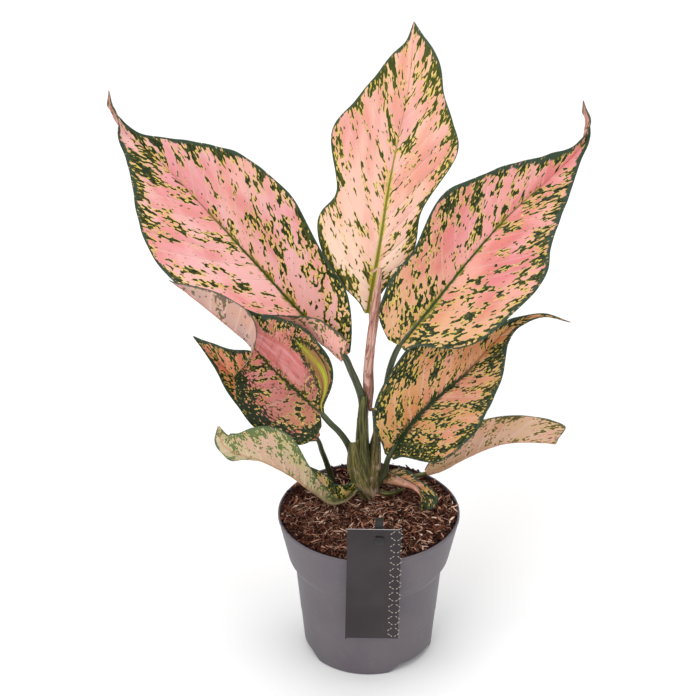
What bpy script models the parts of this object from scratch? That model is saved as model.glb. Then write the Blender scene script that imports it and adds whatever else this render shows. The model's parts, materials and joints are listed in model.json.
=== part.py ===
"""A potted Chinese evergreen: nine pink and green leaves in a 12 cm nursery pot with a hang label.

Metres, Z up, origin at the middle of the pot's underside. +Y points to the back of the plant.
"""

import math

import bmesh
import bpy
import numpy as np

# ---------------------------------------------------------------- pot
POT_HEIGHT = 0.103
RIM_RADIUS = 0.0603
BAND_FOOT_RADIUS = 0.0535  # the rim band tapers down to here
BAND_FOOT_Z = 0.071
SHOULDER_RADIUS = 0.0490  # the body starts here, under the band
SHOULDER_Z = 0.0635
BASE_RADIUS = 0.0430
POT_WALL = 0.0014
POT_SIDES = 48
FLOOR_THICK = 0.0020
EDGE_THICK = 0.0065  # the floor's outer ring is this thick, and its lower edge is notched
EDGE_WIDTH = 0.0090
NOTCH_HEIGHT = 0.0054
NOTCH_DEPTH = 0.0060
NOTCH_ANGLES = (48, 168, 280)  # degrees round from the front, to the right
NOTCH_SPAN = 60
DRAIN_RADIUS = 0.0030
DRAIN_CIRCLE = 0.0240
DRAINS = 6

# ---------------------------------------------------------------- soil
SOIL_TOP = 0.1013
SOIL_RELIEF = 0.0008
SOIL_SIDES = 40
CLEARANCE = 0.0003

# ---------------------------------------------------------------- label
CARD_WIDTH = 0.0368
CARD_THICK = 0.0007
CARD_TOP = (0.0031, -0.0630, 0.1311)
CARD_BOTTOM = (0.0015, -0.0580, 0.0404)
SLIT_BELOW_TOP = 0.0075
HANGER_WIDTH = 0.0052
HANGER_THICK = 0.0011
HANGER_X = 0.0062
HANGER_Y = -0.0525  # the spike, just inside the rim
HANGER_FOOT = 0.084

# ---------------------------------------------------------------- leaves
# Shares of the midrib, base to tip, at which each leaf's two half widths are given in millimetres.
STATIONS = (0, 0.04, 0.1, 0.2, 0.3, 0.42, 0.54, 0.66, 0.78, 0.9, 1)
# Side veins lean this many degrees towards the tip at the same shares; rows across a blade follow them.
VEIN_LEAN = (-20, -15, -5, 14, 25, 33, 38, 44, 50, 58, 65)
VEIN_BEND = 0.12  # veins curve forwards by this share of the half width
BLADE_THICK = 0.0008
RIB_DEEP = 0.0014  # how far the midrib stands out of the underside, at the base
RIB_HALF = 0.0012  # the first column stands at least this far from the midrib
NARROW = 0.0045  # a half narrower than this opens out flatter, so that its two skins don't cross
ROWS = 20
COLUMNS = (0, 0.06, 0.35, 0.68, 1)
TO_FRONT = (0, -0.87, 0.49)  # most faces look at the front and up

# midrib in millimetres; face is where the upper side looks, roll turns it about the midrib.
# fold is the angle at which a half leaves the midrib towards the face, curl its turn up to the margin.
LEAVES = {
    "top": dict(
        midrib=((-1, 30, 236), (7, 45, 280), (12, 55, 312), (18, 64, 343), (25, 74, 378), (28, 88, 414)),
        left=(2, 8, 25, 44, 36, 50, 41, 32, 22, 8, 0.6),
        right=(2, 4, 9, 23, 26, 47, 41, 31, 25, 12, 0.6),
        left_fold=(15, 5, 0, 5, 10), right_fold=(15, 5, 0, 5, 10),
        left_curl=(5,), right_curl=(5,),
    ),
    "upper_left": dict(
        midrib=((-16, 16, 212), (-43, 29, 235), (-72, 42, 264), (-103, 54, 296), (-137, 62, 332),
                (-157, 61, 352), (-163, 54, 368), (-163, 46, 385)),
        roll=(0, 0, 0, 0, 0, 0, 0, 0, 0, 0, 0, 0, 60, 165, 180),
        left=(27, 28, 30, 43, 54, 55, 43, 28, 13, 5, 0.6),
        right=(5, 17, 32, 43, 55, 54, 41, 23, 9, 5, 0.6),
        left_fold=(24, 24, 24, 18, 14, 12, 12, 12, 12, 12, 14, 18, 20), right_fold=(20, 20, 15, 10, 20),
        left_curl=(215, 175, 105, 38, 14, 10, 10, 10, 10, 10, 10, 10, 10), right_curl=(10,),
    ),
    "upper_right": dict(
        midrib=((20, 14, 221), (43, 26, 247), (66, 38, 273), (89, 48, 297), (116, 56, 321),
                (134, 56, 343), (136, 50, 360), (133, 42, 380)),
        roll=(0, 0, 0, 0, 0, 0, 0, 0, 0, 0, 0, 0, 60, 165, 180),
        left=(10, 25, 33, 36, 47, 39, 28, 17, 6, 5, 0.6),
        right=(5, 11, 33, 48, 52, 40, 29, 17, 7, 5, 0.6),
        left_fold=(20, 15, 10, 20), right_fold=(20, 15, 10, 20),
        left_curl=(10,), right_curl=(10,),
    ),
    "right_middle": dict(
        midrib=((14, 10, 140), (29, 13, 164), (44, 18, 179), (63, 24, 194), (82, 32, 214),
                (95, 36, 225), (113, 38, 230), (131, 38, 225)),
        left=(4, 10, 23, 37, 44, 40, 28, 11, 4, 2, 0.6),
        right=(4, 9, 29, 38, 35, 27, 18, 9, 5, 2, 0.6),
        left_fold=(20, 15, 10, 20), right_fold=(20, 15, 10, 20),
        left_curl=(10,), right_curl=(10,),
    ),
    "middle_left": dict(
        midrib=((-32, 8, 174), (-47, 11, 188), (-64, 8, 209), (-78, -2, 233), (-93, -12, 254),
                (-114, -22, 279), (-124, -25, 289)),
        lean=(-52, -38, -12, 14, 25, 33, 38, 44, 50, 58, 65),
        roll=(0, 0, 0, 0, 8, 40, 85, 92, 92, 90, 90),
        left=(10, 26, 35, 36, 29, 23, 17, 15, 12, 6, 0.6),
        right=(3, 9, 28, 38, 41, 34, 19, 13, 9, 5, 0.6),
        left_fold=(12, 12, 12, 14, 20, 42, 60, 60, 56, 46, 30),
        right_fold=(22, 22, 22, 22, 24, 42, 60, 60, 56, 46, 30),
        left_curl=(10, 10, 10, 10, 12, 22, 32, 32, 32, 24, 10),
        right_curl=(10, 10, 10, 10, 12, 22, 32, 32, 32, 24, 10),
    ),
    "left_small": dict(
        midrib=((-34, 20, 147), (-56, 28, 156), (-77, 33, 171), (-97, 36, 194), (-115, 38, 214)),
        left=(2, 5, 10, 16, 17, 14, 12, 9, 6, 3, 0.6),
        right=(3, 9, 18, 25, 31, 34, 29, 20, 13, 6, 0.6),
        left_fold=(15,), right_fold=(20,), left_curl=(10,), right_curl=(10,),
    ),
    "lower_left": dict(
        midrib=((-9, 8, 115), (-15, 4, 110), (-23, -1, 110), (-35, -9.5, 123.8), (-55, -21, 147.1), (-72, -27, 160.5), (-87, -29, 167),
                (-94, -26, 171), (-97, -19, 180)),
        face=((0, -0.5, 0.9), (0, -0.3, 1), (0, 0.1, 1), (0, 0.8, 0.6), (0, 1, 0.2), (0, 1, 0), (0, 1, 0)),
        lean=(-50, -40, -15, 14, 25, 33, 36, 34, 26, 14, 0),
        left=(8, 9, 8, 7, 8, 13, 24, 23, 15, 8, 0.6),
        right=(8, 10, 12, 14, 15, 16, 17, 15, 11, 6, 0.6),
        left_fold=(50, 60, 60, 40, 20, 10), right_fold=(50, 50, 45, 30, 15, 0),
        left_curl=(10,), right_curl=(10,),
    ),
    "lower_right": dict(
        midrib=((39, 34, 111), (48, 35, 113), (63, 38, 120), (92, 42, 130), (117, 44, 129), (126, 44, 128)),
        face=((0, 0.9, 0.2),),
        lean=(-20, -15, -5, 14, 25, 33, 38, 40, 46, 54, 40),
        left=(2, 3, 4, 5, 6, 7, 8, 8, 7, 5, 0.6),
        right=(3, 7, 12, 20, 23, 22, 21, 21, 21, 17, 0.6),
        left_fold=(70,), right_fold=(15,), left_curl=(10,), right_curl=(10,),
    ),
    "soil_right": dict(
        midrib=((9, 20, 114), (22, 12, 116), (31, 4, 117), (35, -1, 114), (34, -4, 107)),
        face=((0.3, 0, 1),),
        lean=(-20, -15, -5, 14, 25, 33, 38, 40, 38, 30, 20),
        left=(4, 9, 12, 13, 12, 9, 8, 10, 11, 6, 0.6),
        right=(2, 5, 8, 8, 6, 5, 4, 4, 3, 2, 0.6),
        left_fold=(20,), right_fold=(75,), left_curl=(10,), right_curl=(10,),
    ),
}

# ---------------------------------------------------------------- stems
# Points and radii in millimetres, from the plant's foot outwards.
STEMS = {
    "cane": (((0, 23, 88), (0, 23, 104), (-3, 22.5, 122), (-4.2, 21.5, 142), (-4.2, 20, 162)), (4.6, 5.6, 7.4, 5.0, 3.9)),
    "petiole_upper_left": (
        ((-4, 20, 156), (-4.6, 18, 178), (-7.6, 18, 189), (-12, 17, 201), (-15, 16, 210)),
        (3.6, 2.9, 2.5, 2.3, 2.0)),
    "petiole_top": (((-3, 23, 158), (-1, 25, 185), (2, 28, 218), (-1, 30, 234)), (2.2, 2.6, 2.3, 1.7)),
    "petiole_middle_left": (
        ((-2, 21, 108), (-8, 17, 126), (-14, 13, 147), (-20, 11, 158), (-26, 9, 166), (-31, 8, 172)),
        (4.0, 4.2, 3.3, 2.2, 2.0, 1.7)),
    "petiole_upper_right": (
        ((0, 21, 118), (4, 20, 142), (8, 20, 165), (11, 20, 184), (14, 19, 203), (19, 15, 218)),
        (4.0, 3.6, 2.6, 2.3, 2.0, 1.7)),
    "petiole_right_middle": (
        ((0, 20, 105), (4, 18, 111), (10, 14, 124), (13, 10, 138)), (2.9, 2.6, 2.0, 1.7)),
    "petiole_lower_right": (((0, 26, 106), (12, 29, 108), (24, 31, 108), (37, 33.7, 110.3)), (2.4, 2.2, 1.9, 1.5)),
    "petiole_soil_right": (((0, 22, 108), (7, 21, 113)), (2.0, 1.4)),
    "petiole_left_small": (
        ((-22, 41, 88), (-26, 33, 112), (-31, 24, 134), (-34, 20, 145)), (2.4, 2.2, 1.7, 1.3)),
    "petiole_lower_left": (((-2, 20, 109), (-6, 13, 112), (-8.5, 9, 113.5)), (1.2, 2.3, 2.0)),
    "dry_sheath": (
        ((0, 23, 196), (2, 22, 227), (3, 22, 250), (5, 26, 270), (1, 25, 274)), (2.0, 2.2, 1.6, 1.0, 0.6)),
    "soil_shoot": (((3, 21, 105), (13, 17, 105.5), (24, 12, 113)), (1.8, 1.6, 0.7)),
}
STEM_SIDES = 12
STEM_STEP = 0.006
STANDS_IN_SOIL = ("cane", "petiole_left_small")
# Each of these starts inside the one named, which is cut out of it with clearance.
GROWS_FROM = {
    "petiole_upper_left": ("cane",),
    "petiole_top": ("cane", "petiole_upper_left"),
    "petiole_middle_left": ("cane",),
    "petiole_upper_right": ("cane",),
    "petiole_right_middle": ("cane", "petiole_upper_right"),
    "petiole_lower_left": ("cane", "petiole_middle_left"),
    "petiole_lower_right": ("cane",),
    "petiole_soil_right": ("cane", "petiole_right_middle"),
    "dry_sheath": ("petiole_top",),
    "soil_shoot": ("cane", "petiole_right_middle"),
}

# Each finish is a colour and a roughness. A node takes its own, or that of the first word of its name.
FINISHES = {
    "pot": ((0.17, 0.15, 0.165, 1), 0.55),
    "soil": ((0.045, 0.022, 0.015, 1), 0.95),
    "label_card": ((0.02, 0.02, 0.022, 1), 0.4),
    "label_hanger": ((0.006, 0.006, 0.006, 1), 0.45),
    "petiole": ((0.05, 0.09, 0.025, 1), 0.45),
    "cane": ((0.06, 0.08, 0.02, 1), 0.5),
    "dry_sheath": ((0.5, 0.24, 0.17, 1), 0.75),
    "leaf": ((0.72, 0.27, 0.24, 1), 0.4),
    "soil_shoot": ((0.03, 0.07, 0.02, 1), 0.45),
}
SHARP_ANGLE = math.radians(35)  # edges sharper than this stay crisp


def material_for(name):
    """The finish of a node. Helpers have none."""
    key = name if name in FINISHES else name.split("_")[0]
    if key not in FINISHES or key in bpy.data.materials:
        return bpy.data.materials.get(key)
    colour, roughness = FINISHES[key]
    made = bpy.data.materials.new(key)
    made.use_nodes = True
    shader = made.node_tree.nodes["Principled BSDF"]
    shader.inputs["Base Color"].default_value = colour
    shader.inputs["Roughness"].default_value = roughness
    return made


def add_object(name, points, faces):
    """A mesh object with all its faces turned outwards, smooth but for its sharp edges."""
    mesh = bpy.data.meshes.new(name)
    mesh.from_pydata([tuple(map(float, p)) for p in points], [], faces)
    shape = bmesh.new()
    shape.from_mesh(mesh)
    bmesh.ops.recalc_face_normals(shape, faces=shape.faces)
    shape.to_mesh(mesh)
    shape.free()
    mesh.shade_smooth()
    mesh.set_sharp_from_angle(angle=SHARP_ANGLE)
    made = bpy.data.objects.new(name, mesh)
    bpy.context.scene.collection.objects.link(made)
    finish = material_for(name)
    if finish:
        mesh.materials.append(finish)
    return made


def hide_cutter(cutter):
    cutter.hide_render = True
    cutter.display_type = "WIRE"


def cut(target, cutter):
    """Takes the cutter out of the target and keeps the cutter as a helper."""
    hide_cutter(cutter)
    boolean = target.modifiers.new("cut_" + cutter.name, "BOOLEAN")
    boolean.operation = "DIFFERENCE"
    boolean.solver = "EXACT"
    boolean.object = cutter


def through(knots, values, at):
    """A smooth curve through the values at the knots, read at each place in `at`."""
    knots, values, at = (np.asarray(v, float) for v in (knots, values, at))
    flat = values.ndim == 1
    values = values.reshape(len(knots), -1)
    steps = np.diff(knots)[:, None]
    rises = np.diff(values, axis=0) / steps
    inner = (rises[:-1] * steps[1:] + rises[1:] * steps[:-1]) / (steps[1:] + steps[:-1])
    slopes = np.concatenate([rises[:1], inner, rises[-1:]])
    i = np.clip(np.searchsorted(knots, at, side="right") - 1, 0, len(knots) - 2)
    step = steps[i]
    t = (at[:, None] - knots[i][:, None]) / step
    read = (
        (2 * t**3 - 3 * t**2 + 1) * values[i] + (t**3 - 2 * t**2 + t) * step * slopes[i]
        + (3 * t**2 - 2 * t**3) * values[i + 1] + (t**3 - t**2) * step * slopes[i + 1]
    )
    return read[:, 0] if flat else read


def evenly(values, at):
    """The values taken as evenly spaced from 0 to 1."""
    if len(values) == 1:
        return np.repeat(np.asarray(values, float), len(at), axis=0)
    return through(np.linspace(0, 1, len(values)), values, at)


def along(points, shares):
    """Points at these shares of the length of a smooth curve, with its directions there and its length."""
    points = np.asarray(points, float) * 0.001
    knots = np.concatenate([[0], np.cumsum(np.linalg.norm(np.diff(points, axis=0), axis=1))])
    fine = through(knots, points, np.linspace(0, knots[-1], 401))
    run = np.concatenate([[0], np.cumsum(np.linalg.norm(np.diff(fine, axis=0), axis=1))])
    ways = np.gradient(fine, axis=0)
    want = np.asarray(shares) * run[-1]
    places, turned = (np.stack([np.interp(want, run, v[:, a]) for a in range(3)], -1) for v in (fine, ways))
    return places, turned / np.linalg.norm(turned, axis=1)[:, None], run[-1]


def blade_grid(leaf, shares, columns):
    """The blade's middle surface: rows from base to tip, columns from the left margin to the right one."""
    middle, tangent, _ = along(leaf["midrib"], shares)
    facing = evenly(leaf.get("face", (TO_FRONT,)), shares)
    normal = facing - (facing * tangent).sum(1)[:, None] * tangent
    normal /= np.linalg.norm(normal, axis=1)[:, None]
    roll = np.radians(evenly(leaf.get("roll", (0,)), shares))[:, None]
    normal = normal * np.cos(roll) + np.cross(tangent, normal) * np.sin(roll)
    right = np.cross(tangent, normal)
    lean = np.radians(through(STATIONS, leaf.get("lean", VEIN_LEAN), shares))[:, None]
    halves = []
    for side, sign in (("left", -1), ("right", 1)):
        width = np.maximum(through(STATIONS, leaf[side], shares), 0.5) * 0.001
        ease = np.minimum(1, width / NARROW)
        fold = np.radians(evenly(leaf[side + "_fold"], shares)) * ease
        curl = np.radians(evenly(leaf[side + "_curl"], shares)) * ease
        across = right * sign * np.cos(lean) + tangent * np.sin(lean)
        first = np.clip(RIB_HALF / width, columns[1], 0.5)
        places = []
        for column in columns:
            u = first + (1 - first) * (column - columns[1]) / (1 - columns[1]) if column else 0 * first
            out = width * (np.sin(fold + curl * u) - np.sin(fold)) / curl
            up = -width * (np.cos(fold + curl * u) - np.cos(fold)) / curl
            bend = VEIN_BEND * width * u * u
            places.append(middle + across * out[:, None] + normal * up[:, None] + tangent * bend[:, None])
        halves.append(places)
    return np.stack(halves[0][:0:-1] + halves[1], axis=1)


def blade_solid(name, leaf):
    """A leaf blade: an upper and a lower skin split into triangles alike, and a rim between them."""
    shares = 0.5 - 0.5 * np.cos(np.pi * np.linspace(0.06, 0.94, ROWS))
    shares = (shares - shares[0]) / (shares[-1] - shares[0])
    grid = blade_grid(leaf, shares, COLUMNS)
    rows, cols = grid.shape[:2]
    out = np.cross(np.gradient(grid, axis=1), np.gradient(grid, axis=0))
    out /= np.linalg.norm(out, axis=2)[:, :, None]
    deep = np.full((rows, cols), BLADE_THICK / 2)
    deep[:, cols // 2] += RIB_DEEP * (1 - shares) ** 0.7
    upper = grid + out * BLADE_THICK / 2
    lower = grid - out * deep[:, :, None]
    points = np.concatenate([upper.reshape(-1, 3), lower.reshape(-1, 3)])
    index = np.arange(2 * rows * cols).reshape(2, rows, cols)
    faces = []
    for i in range(rows - 1):
        for j in range(cols - 1):
            for skin in index:
                a, b, c, d = skin[i, j], skin[i, j + 1], skin[i + 1, j + 1], skin[i + 1, j]
                faces += [(a, b, d), (b, c, d)] if j < cols // 2 else [(a, b, c), (a, c, d)]
    ring = [(i, 0) for i in range(rows)] + [(rows - 1, j) for j in range(1, cols)]
    ring += [(i, cols - 1) for i in range(rows - 2, -1, -1)] + [(0, j) for j in range(cols - 2, 0, -1)]
    for here, there in zip(ring, ring[1:] + ring[:1]):
        a, b, c, d = index[0][here], index[0][there], index[1][there], index[1][here]
        faces += [(a, b, c), (a, c, d)]
    return add_object(name, points, [tuple(map(int, f)) for f in faces])


def tube(name, points, radii, more=0.0):
    """A round stem through the points, thicker by `more`, with flat ends."""
    rough = np.linalg.norm(np.diff(np.array(points, float), axis=0), axis=1).sum() * 0.001
    rings = max(3, round(rough / STEM_STEP) + 1)
    shares = np.linspace(0, 1, rings)
    middle, tangent, _ = along(points, shares)
    radius = evenly(radii, shares) * 0.001 + more
    if more:
        middle[0] -= tangent[0] * more
        middle[-1] += tangent[-1] * more
    side = np.cross(tangent, (0, 1, 0))
    side /= np.linalg.norm(side, axis=1)[:, None]
    front = np.cross(side, tangent)
    turn = 2 * np.pi * np.arange(STEM_SIDES) / STEM_SIDES
    wall = (
        middle[:, None] + radius[:, None, None]
        * (side[:, None] * np.cos(turn)[None, :, None] + front[:, None] * np.sin(turn)[None, :, None])
    )
    index = np.arange(rings * STEM_SIDES).reshape(rings, STEM_SIDES).tolist()
    faces = [index[0], index[-1]]
    for near, far in zip(index, index[1:]):
        for j in range(STEM_SIDES):
            after = (j + 1) % STEM_SIDES
            faces.append((near[j], near[after], far[after], far[j]))
    return add_object(name, wall.reshape(-1, 3), faces)


def revolve(name, profile, sides=POT_SIDES):
    """Turns a closed profile of (radius, z) about the axis; radius 0 makes a pole."""
    points, rows = [], []
    for radius, z in profile:
        if radius == 0:
            points.append((0, 0, z))
            rows.append([len(points) - 1] * sides)
            continue
        start = len(points)
        for k in range(sides):
            angle = 2 * math.pi * k / sides
            points.append((radius * math.sin(angle), -radius * math.cos(angle), z))
        rows.append(list(range(start, start + sides)))
    faces = []
    for row, after in zip(rows, rows[1:]):
        for k in range(sides):
            corners = [row[k], row[(k + 1) % sides], after[(k + 1) % sides], after[k]]
            faces.append(tuple(dict.fromkeys(corners)))
    return add_object(name, points, faces)


def box(name, low, high):
    corners = [(x, y, z) for z in (low[2], high[2]) for y in (low[1], high[1]) for x in (low[0], high[0])]
    faces = [(0, 2, 3, 1), (4, 5, 7, 6), (0, 1, 5, 4), (2, 6, 7, 3), (0, 4, 6, 2), (1, 3, 7, 5)]
    return add_object(name, corners, faces)


def pot():
    """The nursery pot: a thin tapered wall with a rim band, over a drained floor with a notched edge."""
    outer = [
        (BASE_RADIUS - 0.0006, 0), (BASE_RADIUS, 0.0008), (SHOULDER_RADIUS, SHOULDER_Z),
        (SHOULDER_RADIUS + 0.0008, SHOULDER_Z + 0.0012), (BAND_FOOT_RADIUS, BAND_FOOT_Z),
        (RIM_RADIUS - 0.0004, POT_HEIGHT - 0.003), (RIM_RADIUS, POT_HEIGHT - 0.002), (RIM_RADIUS, POT_HEIGHT),
    ]
    inner = [(r - POT_WALL, z) for r, z in outer[2:]]
    ring = BASE_RADIUS - EDGE_WIDTH
    floor = [(0, FLOOR_THICK), (ring, FLOOR_THICK), (ring, EDGE_THICK), (BASE_RADIUS - POT_WALL, EDGE_THICK)]
    made = revolve("pot", [(0, 0)] + outer + inner[::-1] + floor[::-1])
    for k, angle in enumerate(NOTCH_ANGLES):
        cut(made, notch_cutter("notch_%d" % k, angle))
    for k in range(DRAINS):
        turn = math.radians(30 + 360 * k / DRAINS)
        x, y = 1000 * DRAIN_CIRCLE * math.sin(turn), -1000 * DRAIN_CIRCLE * math.cos(turn)
        cut(made, tube("drain_%d" % k, ((x, y, -2), (x, y, 4)), (1000 * DRAIN_RADIUS,)))
    return made


def notch_cutter(name, angle):
    """A wedge of ring that raises the floor's edge round this angle."""
    low, steps = -0.002, 10
    inside, outside = BASE_RADIUS - NOTCH_DEPTH, BASE_RADIUS + 0.01
    points = []
    for k in range(steps + 1):
        turn = math.radians(angle + NOTCH_SPAN * (k / steps - 0.5))
        high = NOTCH_HEIGHT * min(1.0, 0.12 + 5 * min(k, steps - k) / steps)
        for radius, z in ((inside, low), (outside, low), (outside, high), (inside, high)):
            points.append((radius * math.sin(turn), -radius * math.cos(turn), z))
    faces = [(0, 1, 2, 3), tuple(4 * steps + c for c in (3, 2, 1, 0))]
    for k in range(steps):
        for c in range(4):
            faces.append((4 * k + c, 4 * k + 4 + c, 4 * k + 4 + (c + 1) % 4, 4 * k + (c + 1) % 4))
    return add_object(name, points, faces)


def soil():
    """The filling: it follows the pot's inner wall, and its top has low mounds."""
    gap = POT_WALL + CLEARANCE
    ring = BASE_RADIUS - EDGE_WIDTH - CLEARANCE
    slope = (RIM_RADIUS - BAND_FOOT_RADIUS) / (POT_HEIGHT - BAND_FOOT_Z)
    edge = RIM_RADIUS - 0.0006 - slope * (POT_HEIGHT - SOIL_TOP) - gap
    profile = [
        (0, FLOOR_THICK + CLEARANCE), (ring, FLOOR_THICK + CLEARANCE), (ring, EDGE_THICK + CLEARANCE),
        (BASE_RADIUS - gap, EDGE_THICK + CLEARANCE), (SHOULDER_RADIUS - gap, SHOULDER_Z),
        (SHOULDER_RADIUS + 0.0007 - gap, SHOULDER_Z + 0.0014), (BAND_FOOT_RADIUS - gap - 0.0002, BAND_FOOT_Z),
        (edge, SOIL_TOP),
    ]
    profile += [(edge * share, SOIL_TOP) for share in (0.88, 0.7, 0.5, 0.3, 0.12)] + [(0, SOIL_TOP)]
    made = revolve("soil", profile, SOIL_SIDES)
    for vertex in made.data.vertices:
        x, y, z = vertex.co
        if z > SOIL_TOP - 0.001:
            calm = min(1.0, max(0.0, (edge - math.hypot(x, y)) / 0.006))
            mound = math.sin(210 * x + 1) * math.cos(180 * y + 2) + 0.6 * math.sin(330 * (x + y)) - 0.3
            vertex.co.z = z + calm * SOIL_RELIEF * mound
    shape = bmesh.new()
    shape.from_mesh(made.data)
    bmesh.ops.triangulate(shape, faces=shape.faces)
    shape.to_mesh(made.data)
    shape.free()
    return made


def label():
    """A card in front of the pot, on a strap that goes through its slit, over the rim and into the soil."""
    top, bottom = np.array(CARD_TOP), np.array(CARD_BOTTOM)
    down = bottom - top
    height = np.linalg.norm(down)
    down /= height
    across = np.cross(down, (0, 1, 0))
    across /= np.linalg.norm(across)
    out = np.cross(down, across)
    corners = []
    for depth in (-CARD_THICK / 2, CARD_THICK / 2):
        for fall, way in ((0, -1), (0, 1), (height, 1), (height, -1)):
            corners.append(top + down * fall + across * way * CARD_WIDTH / 2 + out * depth)
    sides = [(k, k + 4, (k + 1) % 4 + 4, (k + 1) % 4) for k in range(4)]
    card = add_object("label_card", corners, [(0, 1, 2, 3), (7, 6, 5, 4)] + sides)
    slit_z = CARD_TOP[2] - SLIT_BELOW_TOP
    half = HANGER_WIDTH / 2 + CLEARANCE
    slit = box("slit", (HANGER_X - half, -0.07, slit_z - 0.0012), (HANGER_X + half, -0.055, slit_z + 0.0012))
    cut(card, slit)

    card_y = CARD_TOP[1] + SLIT_BELOW_TOP * (CARD_BOTTOM[1] - CARD_TOP[1]) / (CARD_TOP[2] - CARD_BOTTOM[2])
    ahead, behind = card_y - 0.0016, card_y + 0.0024
    high = CARD_TOP[2] + 0.0015
    # the strap's middle line in (y, z): a tongue on the front, the slit, the bow over the rim, the spike
    line = [
        (ahead, slit_z - 0.0065), (ahead, slit_z), (behind, slit_z), (behind + 0.0002, high - 0.002),
        (behind + 0.0016, high), (HANGER_Y - 0.0016, high), (HANGER_Y, high - 0.002), (HANGER_Y, HANGER_FOOT),
    ]
    sides = []
    for turn in (1, -1):
        edge = []
        for k, (y, z) in enumerate(line):
            before = np.array(line[k]) - line[max(k - 1, 0)]
            after = np.array(line[min(k + 1, len(line) - 1)]) - line[k]
            ways = [w / np.linalg.norm(w) for w in (before, after) if np.linalg.norm(w) > 0]
            normals = [np.array((-w[1], w[0])) for w in ways]
            mean = sum(normals)
            mean = mean / np.linalg.norm(mean)
            mean = mean / max(0.5, float(mean @ normals[0]))
            edge.append((y + turn * mean[0] * HANGER_THICK / 2, z + turn * mean[1] * HANGER_THICK / 2))
        sides.append(edge)
    outline = sides[0] + sides[1][::-1]
    count = len(outline)
    points = [(HANGER_X + way * HANGER_WIDTH / 2, y, z) for way in (-1, 1) for y, z in outline]
    faces = []
    for k in range(len(line) - 1):
        near, far = (k, k + 1), (count - 2 - k, count - 1 - k)
        side = (near[0], near[1], far[0], far[1])
        faces += [side, tuple(count + v for v in reversed(side))]
    faces += [(k, (k + 1) % count, count + (k + 1) % count, count + k) for k in range(count)]
    add_object("label_hanger", points, faces)


for old in list(bpy.data.objects):
    bpy.data.objects.remove(old, do_unlink=True)

pot()
filling = soil()
label()
stems = {name: tube(name, *STEMS[name]) for name in STEMS}
blades = {name: blade_solid("leaf_" + name, leaf) for name, leaf in LEAVES.items()}

roomy = {}
for parents in GROWS_FROM.values():
    for parent in parents:
        if parent not in roomy:
            roomy[parent] = tube("around_" + parent, *STEMS[parent], more=CLEARANCE)
for name, parents in GROWS_FROM.items():
    for parent in parents:
        cut(stems[name], roomy[parent])

for name in STANDS_IN_SOIL:
    cut(filling, tube("hole_" + name, *STEMS[name], more=2 * CLEARANCE))
half = HANGER_WIDTH / 2 + CLEARANCE
deep = HANGER_THICK / 2 + CLEARANCE
low = (HANGER_X - half, HANGER_Y - deep, HANGER_FOOT - CLEARANCE)
high = (HANGER_X + half, HANGER_Y + deep, SOIL_TOP + 0.02)
cut(filling, box("hole_hanger", low, high))
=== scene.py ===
"""Potted Chinese evergreen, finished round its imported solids: pot, filling, stems, leaves and hang label.

Metres, Z up, +Y to the back of the plant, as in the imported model.
"""

import json
import math

import bmesh
import bpy
import numpy as np
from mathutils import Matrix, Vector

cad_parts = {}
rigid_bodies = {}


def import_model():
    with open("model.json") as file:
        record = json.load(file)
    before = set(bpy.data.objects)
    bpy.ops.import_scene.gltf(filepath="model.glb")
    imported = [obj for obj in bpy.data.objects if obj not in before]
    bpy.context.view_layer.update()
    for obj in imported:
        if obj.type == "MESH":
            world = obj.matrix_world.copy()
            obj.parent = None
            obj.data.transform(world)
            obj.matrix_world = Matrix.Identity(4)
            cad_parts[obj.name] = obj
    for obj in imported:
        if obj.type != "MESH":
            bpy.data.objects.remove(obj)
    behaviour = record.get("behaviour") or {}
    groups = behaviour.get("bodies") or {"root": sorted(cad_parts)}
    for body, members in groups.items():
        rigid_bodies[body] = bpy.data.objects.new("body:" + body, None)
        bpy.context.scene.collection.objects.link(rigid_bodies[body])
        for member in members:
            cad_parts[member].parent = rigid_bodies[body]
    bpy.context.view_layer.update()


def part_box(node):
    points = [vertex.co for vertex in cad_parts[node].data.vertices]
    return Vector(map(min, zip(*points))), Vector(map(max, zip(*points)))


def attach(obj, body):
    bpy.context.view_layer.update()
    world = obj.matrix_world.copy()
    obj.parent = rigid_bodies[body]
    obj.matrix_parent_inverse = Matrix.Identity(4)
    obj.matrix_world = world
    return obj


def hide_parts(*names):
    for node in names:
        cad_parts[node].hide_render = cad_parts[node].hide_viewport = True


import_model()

# ---------------------------------------------------------------- camera
# A long lens, a little above the plant, looks down at it from the front.
AIM = (-0.0138, 0.0, 0.227)
CAMERA_DISTANCE = 1.6
LOOKS_DOWN = math.radians(29.5)
LENS = 129.5

lens = bpy.data.cameras.new("camera")
lens.lens = LENS
camera = bpy.data.objects.new("camera", lens)
camera.location = (
    AIM[0], AIM[1] - CAMERA_DISTANCE * math.cos(LOOKS_DOWN), AIM[2] + CAMERA_DISTANCE * math.sin(LOOKS_DOWN),
)
camera.rotation_euler = (math.pi / 2 - LOOKS_DOWN, 0, 0)
bpy.context.scene.collection.objects.link(camera)
bpy.context.scene.camera = camera

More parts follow.
